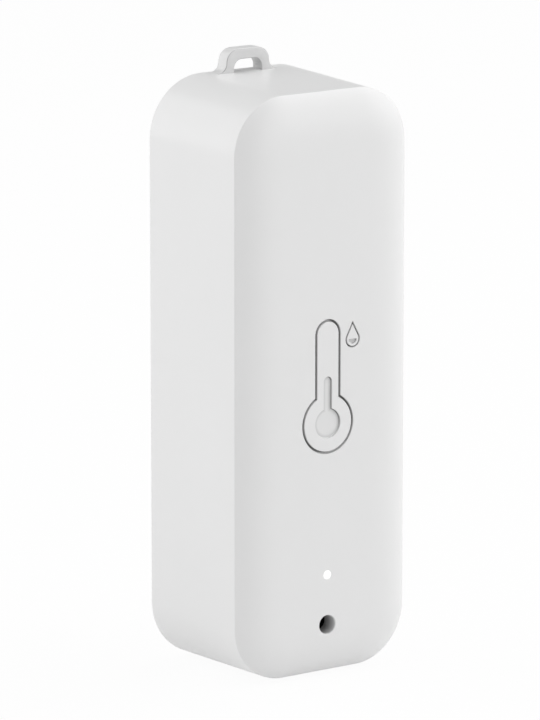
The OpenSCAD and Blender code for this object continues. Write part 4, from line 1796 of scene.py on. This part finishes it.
@dataclass
class FixingScrews:
    """Two self-tapping screws with pan heads and cross recesses."""

    place_x: float = SCREW_X
    place_z: float = LOW_ROW_Z
    seat_y: float = 2.2
    shank_r: float = 0.95
    core_r: float = 0.72
    length: float = 6.0
    tip: Pair = (0.35, 0.25)
    neck: float = 0.05
    threads: int = 7
    thread_from: float = 0.5
    thread_pitch: float = 0.75
    thread_shape: Pair = (0.4, 0.8)
    head_r: float = 1.9
    head_h: float = 1.3
    head_edge: float = 0.12
    head_side: Pair = (0.55, 0.4)
    head_crown: Pair = (1.3, 0.8)
    head_flat_r: float = 0.4
    edge_steps: int = 5
    sides: int = 40
    recess_l: float = 2.2
    recess_w: float = 0.5
    recess_d: float = 0.8
    recess_over: float = 0.5
    recess_taper: float = 0.6

    def line(self) -> list[Pair]:
        """Draw the screw's turned section.

        Returns:
            (radius, height) points, from its point to the crown of its head.
        """
        tip_r, tip_h = self.tip
        pitch = self.thread_pitch
        crest, foot = self.thread_shape
        line: list[Pair] = [(0.0, -self.length), (tip_r, tip_h - self.length)]
        for k in range(self.threads):
            low = self.thread_from - self.length + k * pitch
            line.append((self.core_r, low))
            line.append((self.shank_r, low + pitch * crest))
            line.append((self.core_r, low + pitch * foot))
        line.append((self.core_r, -self.neck))
        side_h, side_edge = self.head_side
        crown_r, crown_edge = self.head_crown
        return line + rounded([
            (self.core_r, 0.0, 0.0),
            (self.head_r, 0.0, self.head_edge),
            (self.head_r, side_h, side_edge),
            (crown_r, self.head_h, crown_edge),
            (self.head_flat_r, self.head_h, 0.0),
            (0.0, self.head_h, 0.0),
        ], self.edge_steps)

    def slot(self, half_x: float, half_z: float) -> Sketch:
        """Return the tapered form of one slot of the recess.

        Args:
            half_x: Half its width along X.
            half_z: Half its width along Z.

        Returns:
            The form that is cut out of the head.
        """
        sketch = Sketch()
        rings = []
        for depth, share in ((-self.recess_d, self.recess_taper), (self.recess_over, 1.0)):
            x, y, z = half_x * share, self.head_h + depth, half_z * share
            rings.append(sketch.ring(((-x, y, -z), (x, y, -z), (x, y, z), (-x, y, z))))
        sketch.solid(rings)
        return sketch

    def build(self) -> None:
        """Build both screws and tie them to the frame."""
        sketch = Sketch()
        sketch.turn(self.line(), ORIGIN, Axis.REAR, self.sides)
        screw = Maker.place("screw", sketch.mesh("screw"))
        long, short = self.recess_l / 2, self.recess_w / 2
        Maker.cut(screw, self.slot(long, short))
        Maker.cut(screw, self.slot(short, long))
        places = [(side * self.place_x, self.seat_y, self.place_z) for side in BOTH_SIDES]
        nodes = ("chassis_screws",)
        scattered("fixing_screws", ((screw.data, ZINC),), places, "screw_steel", nodes)
        bpy.data.objects.remove(screw)


@dataclass
class Cell:
    """One AAA cell: can with its nub, seal and printed film.

    foot_line and top_line hold the can's (radius, height, rounding) corners, with heights from the
    foot and from the shoulder.
    """

    side: str
    body: Body
    axis: Axis
    foot: Point
    film: PrintedFilm
    shoulder: float = 43.5
    can_r: float = 5.1
    foot_flat: tuple[Pair, ...] = ((0.0, 0.18), (2.6, 0.18))
    foot_line: tuple[Point, ...] = (
        (2.7, 0.18, 0.0), (3.1, 0.0, 0.3), (4.5, 0.0, 0.4), (5.1, 0.35, 0.35),
    )
    top_line: tuple[Point, ...] = (
        (5.1, -0.3, 0.25), (4.85, 0.0, 0.15), (4.15, 0.0, 0.1), (4.1, -0.15, 0.0),
        (2.1, -0.15, 0.1), (1.9, 0.1, 0.2), (1.9, 1.0, 0.3), (0.6, 1.0, 0.0), (0.0, 1.0, 0.0),
    )
    can_steps: int = 5
    film_r: float = 5.25
    film_end: float = 0.4
    film_under: float = 0.02
    film_edge: float = 0.1
    seal_r: Pair = (1.95, 4.0)
    seal_h: Pair = (-0.1, 0.2)
    seal_edge: float = 0.08
    seal_steps: int = 3
    sides: int = 96

    def can_section(self) -> list[Pair]:
        """Return the can's section, from the middle of its foot to the tip of its nub."""
        top = [(radius, self.shoulder + height, edge) for radius, height, edge in self.top_line]
        return [*self.foot_flat, *rounded([*self.foot_line, *top], self.can_steps)]

    def film_section(self) -> list[Pair]:
        """Draw the film's closed section.

        Returns:
            (radius, height) points.
        """
        low, high = self.film_end, self.shoulder - self.film_end
        inner = self.can_r - self.film_under
        return rounded([
            (inner, low, 0.0), (self.film_r, low, self.film_edge),
            (self.film_r, high, self.film_edge), (inner, high, 0.0),
        ])

    def seal_section(self) -> list[Pair]:
        """Draw the closed section of the seal round the nub.

        Returns:
            (radius, height) points.
        """
        inner, outer = self.seal_r
        low, high = (self.shoulder + height for height in self.seal_h)
        return rounded([
            (inner, low, 0.0), (outer, low, 0.0), (outer, high, self.seal_edge), (inner, high, 0.0),
        ], self.seal_steps)

    def build(self) -> None:
        """Build the cell's three pieces and tie them to the frame."""
        for part, line, finish, slot, node in (
            ("can", self.can_section(), CAN_METAL, "cell_metal", "can"),
            ("film", self.film_section(), self.film, "cell_sleeve", "sleeve"),
            ("seal", self.seal_section(), SEAL_CARD, "cell_washer", "washer"),
        ):
            sketch = Sketch()
            sketch.turn(line, self.foot, self.axis, self.sides)
            name = f"{self.side}_cell_{part}_turned"
            Maker.shape(name, sketch, finish, self.body, slot, (f"{self.side}_cell_{node}",))


@dataclass
class ContactCoil:
    """Conical contact spring that a cell presses on."""

    name: str
    node: str
    joint: str
    foot: Point
    down: bool
    turns: float = 3.75
    base_r: float = 2.9
    tip_r: float = 2.1
    wire_r: float = 0.3
    length: float = 4.8
    lift: float = 0.05
    keep: float = 0.75
    turn_points: int = 40
    wire_sides: int = 16

    def build(self) -> None:
        """Wind the spring by Geometry Nodes and tie it to the frame."""
        piece = Maker.place(self.name, Sketch().mesh(self.name))
        growth = NodeGrowth(self.name + "_winding")
        tree = growth.tree
        rise = (self.length - 2 * self.wire_r - 2 * self.lift) * MM
        spiral = tree.wire("GeometryNodeCurveSpiral", None, {
            "Resolution": growth.size("Points in a turn", "Int", self.turn_points),
            "Rotations": growth.size("Turns", "Float", self.turns),
            "Start Radius": growth.size("Base radius", "Float", self.base_r * MM),
            "End Radius": growth.size("Tip radius", "Float", self.tip_r * MM),
            "Height": growth.size("Rise", "Float", rise),
        })
        ring = tree.wire("GeometryNodeCurvePrimitiveCircle", None, {
            "Resolution": growth.size("Wire sides", "Int", self.wire_sides),
            "Radius": growth.size("Wire radius", "Float", self.wire_r * MM),
        })
        sockets = {"Curve": spiral, "Profile Curve": ring, "Fill Caps": True}
        wire = tree.wire("GeometryNodeCurveToMesh", None, sockets)
        step = (self.wire_r + self.lift) * MM
        anchor = tuple(v * MM for v in self.foot)
        x, y, z = anchor
        shift = (x, y, z - step) if self.down else (x, y, z + step)
        turned = (math.pi, 0.0, 0.0) if self.down else ORIGIN
        placed = tree.wire("GeometryNodeTransform", None, {
            "Geometry": wire,
            "Translation": growth.size("Foot", "Vector", shift),
            "Rotation": growth.size("Turned", "Vector", turned),
        })
        whole = tree.wire("GeometryNodeRealizeInstances", None, {"Geometry": placed})
        stuff = growth.size("Finish", "Material", WIRE_NICKEL.material())
        sockets = {"Geometry": whole, "Material": stuff}
        growth.run(piece, tree.wire("GeometryNodeSetMaterial", None, sockets))
        Maker.smooth(piece)
        Maker.finish(piece, None, Body.HOUSING, "spring_steel", (self.node,))
        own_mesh(piece)


@dataclass
class PairingButton:
    """Cap of the push button behind the door, with a dished top.

    dish holds (radius, depth) points of the hollow.
    """

    flange_r: float = 2.7
    flange_t: float = 0.7
    flange_edges: Pair = (0.12, 0.15)
    stem_r: float = 2.0
    stem_edge: float = 0.22
    rim_r: float = 1.5
    dish: tuple[Pair, ...] = ((1.2, 0.08), (0.8, 0.17), (0.4, 0.23), (0.0, 0.25))
    foot_y: float = 0.2
    top_y: float = 3.2
    place_z: float = LOW_ROW_Z
    sides: int = 56

    def build(self) -> None:
        """Build the cap and tie it to the frame."""
        height = self.top_y - self.foot_y
        under, over = self.flange_edges
        line = rounded([
            (0.0, 0.0, 0.0), (self.flange_r, 0.0, under), (self.flange_r, self.flange_t, over),
            (self.stem_r, self.flange_t, 0.0), (self.stem_r, height, self.stem_edge),
            (self.rim_r, height, 0.0),
        ])
        line += [(radius, height - depth) for radius, depth in self.dish]
        sketch = Sketch()
        sketch.turn(line, (0.0, self.foot_y, self.place_z), Axis.REAR, self.sides)
        nodes = ("pairing_button",)
        Maker.shape("button_cap", sketch, GREY_BUTTON, Body.BUTTON, "button_plastic", nodes)


@dataclass(frozen=True)
class LeadRow:
    """Leads or pads along two opposite sides of a soldered part.

    path holds (out, lift) points: how far outside the part's side and how far off the board a
    lead's middle lies. on_ends is True where the two sides are the upper and the lower one, and
    rear where the part is on the back of the board.
    """

    name: str
    node: str
    width: float
    thick: float
    path: tuple[Pair, ...]
    count: int = 1
    pitch: float = 0.0
    on_ends: bool = False
    rear: bool = False
    finish: Finish = TINNED_END

    def pair(self, half: float) -> Sketch:
        """Draw one lead on each of the two sides.

        Args:
            half: The distance of the sides from the part's middle.

        Returns:
            Both leads, about the middle of the part's foot.
        """
        sketch = Sketch()
        lifted = 1 if self.rear else -1
        for side in BOTH_SIDES:
            rings = []
            for out, lift in self.path:
                reach = side * (half + out)
                corners = []
                for u, v in ((-1, -1), (1, -1), (1, 1), (-1, 1)):
                    across = u * self.width / 2
                    depth = lifted * (lift + v * self.thick / 2)
                    corners.append((across, depth, reach) if self.on_ends else (reach, depth, across))
                rings.append(sketch.ring(corners))
            sketch.solid(rings)
        return sketch

    def build(self) -> None:
        """Set the leads along the part by Geometry Nodes and tie them to the frame."""
        low, high = (Vector(corner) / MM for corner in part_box(self.node))
        middle = (low + high) / 2
        middle.y = low.y if self.rear else high.y
        across, along = (2, 0) if self.on_ends else (0, 2)
        places = []
        for k in range(self.count):
            place = middle.copy()
            place[along] += (k - (self.count - 1) / 2) * self.pitch
            places.append(tuple(place))
        pair = self.pair((high - low)[across] / 2)
        scattered(self.name, ((pair.mesh(self.name), self.finish),), places, "shield_tin")


@dataclass
class BoardParts:
    """Circuit board, what is soldered to it, and the dark foam round the air port."""

    chip_w: float = 1.6
    chip_h: float = 0.8
    chip_t: float = 0.5
    end_w: float = 0.3
    body_edge: float = 0.06
    end_edge: float = 0.05
    column_x: float = 1.6
    first_z: float = 18.7
    pitch: float = 2.2
    rows: int = 5
    board_y: float = -5.3
    aerial_w: float = 11.0
    aerial_pitch: float = 1.2
    aerial_line: float = 0.4
    aerial_t: float = 0.05
    aerial_sink: float = 0.01
    aerial_edge: float = 0.02
    aerial_units: int = 3
    aerial_z: float = 57.0
    radio_y: float = -6.1
    laminate_edge: float = 0.05
    case_edge: float = 0.12
    core_edge: float = 0.35

    def chips(self) -> None:
        """Build the two columns of small chips, each with a body and two tinned ends."""
        half_w, half_h = self.chip_w / 2, self.chip_h / 2
        inner = half_w - self.end_w
        kinds = []
        for x0, x1, edge, finish in (
            (-inner, inner, self.body_edge, CERAMIC),
            (-half_w, -inner, self.end_edge, TINNED_END),
            (inner, half_w, self.end_edge, TINNED_END),
        ):
            sketch = Sketch()
            sketch.slab((x0, -self.chip_t, -half_h), (x1, 0.0, half_h), edge)
            kinds.append((sketch.mesh("chip"), finish))
        places = [
            (side * self.column_x, self.board_y, self.first_z + row * self.pitch)
            for side in BOTH_SIDES for row in range(self.rows)
        ]
        scattered("chip_parts", kinds, places, "chip_ceramic", ("chip_passives",))

    def aerial(self) -> None:
        """Build the radio board's printed aerial, a line that runs to and fro, in equal lengths."""
        half, line, pitch = self.aerial_w / 2, self.aerial_line / 2, self.aerial_pitch
        unit = Sketch()
        for z, x in ((0.0, half), (-pitch, -half)):
            for x0, x1, z0, z1 in (
                (-half - line, half + line, z - line, z + line),
                (x - line, x + line, z - pitch + line, z - line),
            ):
                low, high = (x0, -self.aerial_t, z0), (x1, self.aerial_sink, z1)
                unit.slab(low, high, self.aerial_edge)
        places = [
            (0.0, self.radio_y, self.aerial_z - 2 * pitch * k) for k in range(self.aerial_units)
        ]
        scattered("radio_aerial", ((unit.mesh("aerial"), GOLD_PLATE),), places, "radio_laminate")

    def leads(self) -> tuple[LeadRow, ...]:
        """List the leads, ends and pads of the soldered parts.

        Returns:
            One row for each part.
        """
        return (
            LeadRow(
                "power_leads", "power_chip", count=3, pitch=0.95, width=0.4, thick=0.15,
                path=((-0.2, 0.55), (0.15, 0.55), (0.4, 0.09), (0.65, 0.09)), on_ends=True,
            ),
            LeadRow(
                "inductor_ends", "inductor", width=1.6, thick=0.5,
                path=((-0.4, 0.25), (0.06, 0.25)),
            ),
            LeadRow(
                "capacitor_ends", "bulk_capacitor", width=2.2, thick=1.0,
                path=((-0.3, 0.5), (0.1, 0.5)), on_ends=True,
            ),
            LeadRow(
                "led_ends", "status_led", width=0.7, thick=0.3,
                path=((-0.3, 0.15), (0.04, 0.15)),
            ),
            LeadRow(
                "humidity_pads", "humidity_chip", count=4, pitch=0.5, width=0.25, thick=0.3,
                path=((-0.15, 0.15), (0.05, 0.15)),
            ),
            LeadRow(
                "switch_leads", "button_switch", count=2, pitch=4.0, width=0.8, thick=0.2,
                path=((-0.3, 0.9), (0.25, 0.9), (0.6, 0.11), (1.1, 0.11)), rear=True,
            ),
            LeadRow(
                "radio_pads", "radio_board", count=9, pitch=1.27, width=0.8, thick=0.84,
                path=((-0.8, 0.42), (0.03, 0.42)), finish=GOLD_PLATE,
            ),
        )

    def cases(self) -> tuple[RoundedCopy, ...]:
        """List the boards, the cases of the soldered parts and the foam ring.

        Returns:
            One copy for each CAD solid.
        """
        flat, case = self.laminate_edge, self.case_edge
        return (
            RoundedCopy("circuit_board", "main_board", flat, BOARD_GREEN, "board_laminate"),
            RoundedCopy("radio_board", "radio_module", flat, RADIO_GREEN, "radio_laminate"),
            RoundedCopy("humidity_chip", "humidity_case", flat, CHIP_RESIN, "chip_resin"),
            RoundedCopy("status_led", "led_case", case, LED_RESIN, "led_resin"),
            RoundedCopy("power_chip", "power_case", case, CHIP_RESIN, "chip_resin"),
            RoundedCopy("inductor", "inductor_core", self.core_edge, FERRITE, "ferrite"),
            RoundedCopy("bulk_capacitor", "capacitor_case", case, CAPACITOR_RESIN, "capacitor_resin"),
            RoundedCopy("button_switch", "switch_case", case, CHIP_RESIN, "chip_resin"),
            RoundedCopy("vent_gasket", "foam_ring", case, FOAM, "gasket_foam"),
            RoundedCopy(
                "switch_plunger", "plunger_tip", case, BLACK_PLUNGER, "plunger_plastic", Body.BUTTON
            ),
        )

    def build(self) -> None:
        """Build the boards, their parts and the leads, and tie them to the frame."""
        self.chips()
        self.aerial()
        for piece in (*self.cases(), *self.leads()):
            piece.build()


# Studio


def direction(azimuth: float, elevation: float = 0.0) -> Vector:
    """Return the unit vector of an azimuth from the front and an elevation, in degrees."""
    a, e = math.radians(azimuth), math.radians(elevation)
    return Vector((math.sin(a) * math.cos(e), -math.cos(a) * math.cos(e), math.sin(e)))


@dataclass
class Lamp:
    """A soft lamp that points at the object, its size and distance in metres."""

    name: str
    azimuth: float
    elevation: float
    power: float
    size: float
    distance: float = 0.8


@dataclass
class Studio:
    """Floor, light and camera.

    The camera's lengths are in millimetres, while clip_end, the floor and the card are in metres.
    """

    yaw: float = 34.99
    pitch: float = 12.27
    distance: float = 655.1
    shift_right: float = 1.0537
    shift_up: float = -1.4396
    target: Point = (0.0, 0.81, 36.2)
    focal_px: float = 5386.35
    long_side_px: float = 720.0
    sensor: float = 36.0
    clip_end: float = 20.0
    fill: float = 0.51
    floor_half: float = 3.0
    floor_tint: Colour = (0.86, 0.86, 0.86)
    floor_dull: float = 0.99
    floor_cloud: float = 0.01
    floor_white: float = 0.95
    card_tints: Pair = (0.55, 0.08)
    card_azimuth: float = 152.0
    card_distance: float = 1.3
    card_half_w: float = 1.1
    card_z: Pair = (0.1, 1.3)
    lamps: tuple[Lamp, ...] = (
        Lamp("lamp_left", -105.0, 10.0, 2.0, 0.9),
        Lamp("lamp_left_rear", -142.0, 20.0, 2.0, 1.0),
        Lamp("lamp_front", 38.0, 18.0, 2.48, 1.0),
        Lamp("lamp_right", 85.0, 35.0, 0.68, 0.8),
        Lamp("lamp_high", 90.0, 60.0, 2.36, 0.8),
    )

    def camera(self) -> None:
        """Set the camera where the photograph was taken from."""
        ahead = -direction(-self.yaw, self.pitch)
        turn = math.radians(self.yaw)
        right = Vector((math.cos(turn), -math.sin(turn), 0.0))
        up = right.cross(ahead)
        eye = Vector(self.target) - ahead * self.distance
        eye -= right * self.shift_right + up * self.shift_up
        data = bpy.data.cameras.new("camera")
        data.lens = self.sensor * self.focal_px / self.long_side_px
        data.sensor_width = self.sensor
        data.clip_end = self.clip_end
        camera = bpy.data.objects.new("camera", data)
        camera.location = eye * MM
        camera.rotation_euler = ahead.to_track_quat("-Z", "Y").to_euler()
        bpy.context.scene.collection.objects.link(camera)
        bpy.context.scene.camera = camera

    @staticmethod
    def seen(tree: ShaderTree) -> Wire:
        """Tell the rays that show the white set.

        Args:
            tree: The material's tree.

        Returns:
            1 for rays from the camera, a gloss or a glass, and 0 for the rest.
        """
        path = tree.node("ShaderNodeLightPath")
        camera, glossy, clear = (
            Wire(tree, path.outputs[name])
            for name in ("Is Camera Ray", "Is Glossy Ray", "Is Transmission Ray")
        )
        return camera + glossy + clear > 0.5

    def floor(self) -> None:
        """Lay the pale floor, which keeps a soft shadow."""
        half = self.floor_half / MM
        sketch = Sketch()
        corners = ((-half, -half), (half, -half), (half, half), (-half, half))
        sketch.faces.append(tuple(sketch.ring((x, y, 0.0) for x, y in corners)))
        floor = Maker.place("floor", sketch.mesh("floor"))
        material = bpy.data.materials.new("pale_floor")
        tree = ShaderTree.of(material)
        cloud = tree.noise(tree.millimetres(), self.floor_cloud)
        colour = tree.blend(cloud, scaled(self.floor_tint, self.floor_dull), self.floor_tint)
        paint = tree.wire("ShaderNodeBsdfDiffuse", None, {"Color": colour})
        white = tree.wire("ShaderNodeEmission", None, {"Color": (*WHITE, 1.0), "Strength": 1.0})
        sockets = {0: self.seen(tree) * self.floor_white, 1: paint, 2: white}
        mixed = tree.wire("ShaderNodeMixShader", None, sockets)
        tree.node("ShaderNodeOutputMaterial", None, {"Surface": mixed})
        floor.data.materials.append(material)

    def card(self) -> None:
        """Stand a dark card out of sight behind the object, for its top face to mirror."""
        away = direction(self.card_azimuth) * self.card_distance
        side = direction(self.card_azimuth + 90) * self.card_half_w
        foot, head = (Vector((0.0, 0.0, z)) for z in self.card_z)
        corners = (away - side + foot, away + side + foot, away + side + head, away - side + head)
        sketch = Sketch()
        sketch.faces.append(tuple(sketch.ring(tuple(c / MM) for c in corners)))
        card = Maker.place("dark_card", sketch.mesh("dark_card"))
        material = bpy.data.materials.new("card_paint")
        tree = ShaderTree.of(material)
        height = tree.wire("ShaderNodeSeparateXYZ", None, {"Vector": tree.millimetres()}, "Z") * MM
        bottom, top = self.card_z
        low, high = ((tint,) * 3 for tint in self.card_tints)
        colour = tree.blend((height - bottom) / (top - bottom), low, high)
        paint = tree.wire("ShaderNodeBsdfDiffuse", None, {"Color": colour})
        tree.node("ShaderNodeOutputMaterial", None, {"Surface": paint})
        card.data.materials.append(material)
        card.visible_camera = False

    def world(self) -> None:
        """Light the scene from all round, in front of a white background."""
        world = bpy.data.worlds.new("studio")
        tree = ShaderTree.of(world)
        strength = self.fill + self.seen(tree) * (1.0 - self.fill)
        sockets = {"Color": (*WHITE, 1.0), "Strength": strength}
        light = tree.wire("ShaderNodeBackground", None, sockets)
        tree.node("ShaderNodeOutputWorld", None, {"Surface": light})
        bpy.context.scene.world = world

    def lights(self) -> None:
        """Hang the soft lamps round the object."""
        target = Vector(self.target) * MM
        for lamp in self.lamps:
            away = direction(lamp.azimuth, lamp.elevation)
            data = bpy.data.lights.new(lamp.name, "AREA")
            data.shape = "DISK"
            data.size = lamp.size
            data.energy = lamp.power
            hung = bpy.data.objects.new(lamp.name, data)
            hung.location = target + away * lamp.distance
            hung.rotation_euler = (-away).to_track_quat("-Z", "Y").to_euler()
            hung.visible_camera = False
            bpy.context.scene.collection.objects.link(hung)

    def build(self) -> None:
        """Set up the camera, the floor and the light."""
        self.camera()
        self.floor()
        self.card()
        self.world()
        self.lights()
        bpy.context.scene.view_settings.view_transform = "Standard"


def main() -> None:
    logging.basicConfig(level=logging.INFO, format="%(name)s: %(message)s")
    Studio().build()
    FrontShell().build()
    HangingLoop().build()
    ShellPosts().build()
    IndicatorWindow().build()
    BackParts().build()
    FixingScrews().build()
    foot = (-CELL_X, CELL_Y, LEFT_FOOT_Z)
    Cell("left", Body.LEFT_CELL, Axis.UP, foot, LEFT_FILM).build()
    foot = (CELL_X, CELL_Y, RIGHT_FOOT_Z)
    Cell("right", Body.RIGHT_CELL, Axis.DOWN, foot, RIGHT_FILM).build()
    foot = (-CELL_X, CELL_Y, NEGATIVE_COIL_Z)
    ContactCoil("negative_coil", "negative_spring", "left_cell_push", foot, False).build()
    foot = (CELL_X, CELL_Y, BRIDGE_COIL_Z)
    ContactCoil("bridge_coil", "bridge_spring", "right_cell_push", foot, True).build()
    PairingButton().build()
    BoardParts().build()


if __name__ == "__main__":
    main()
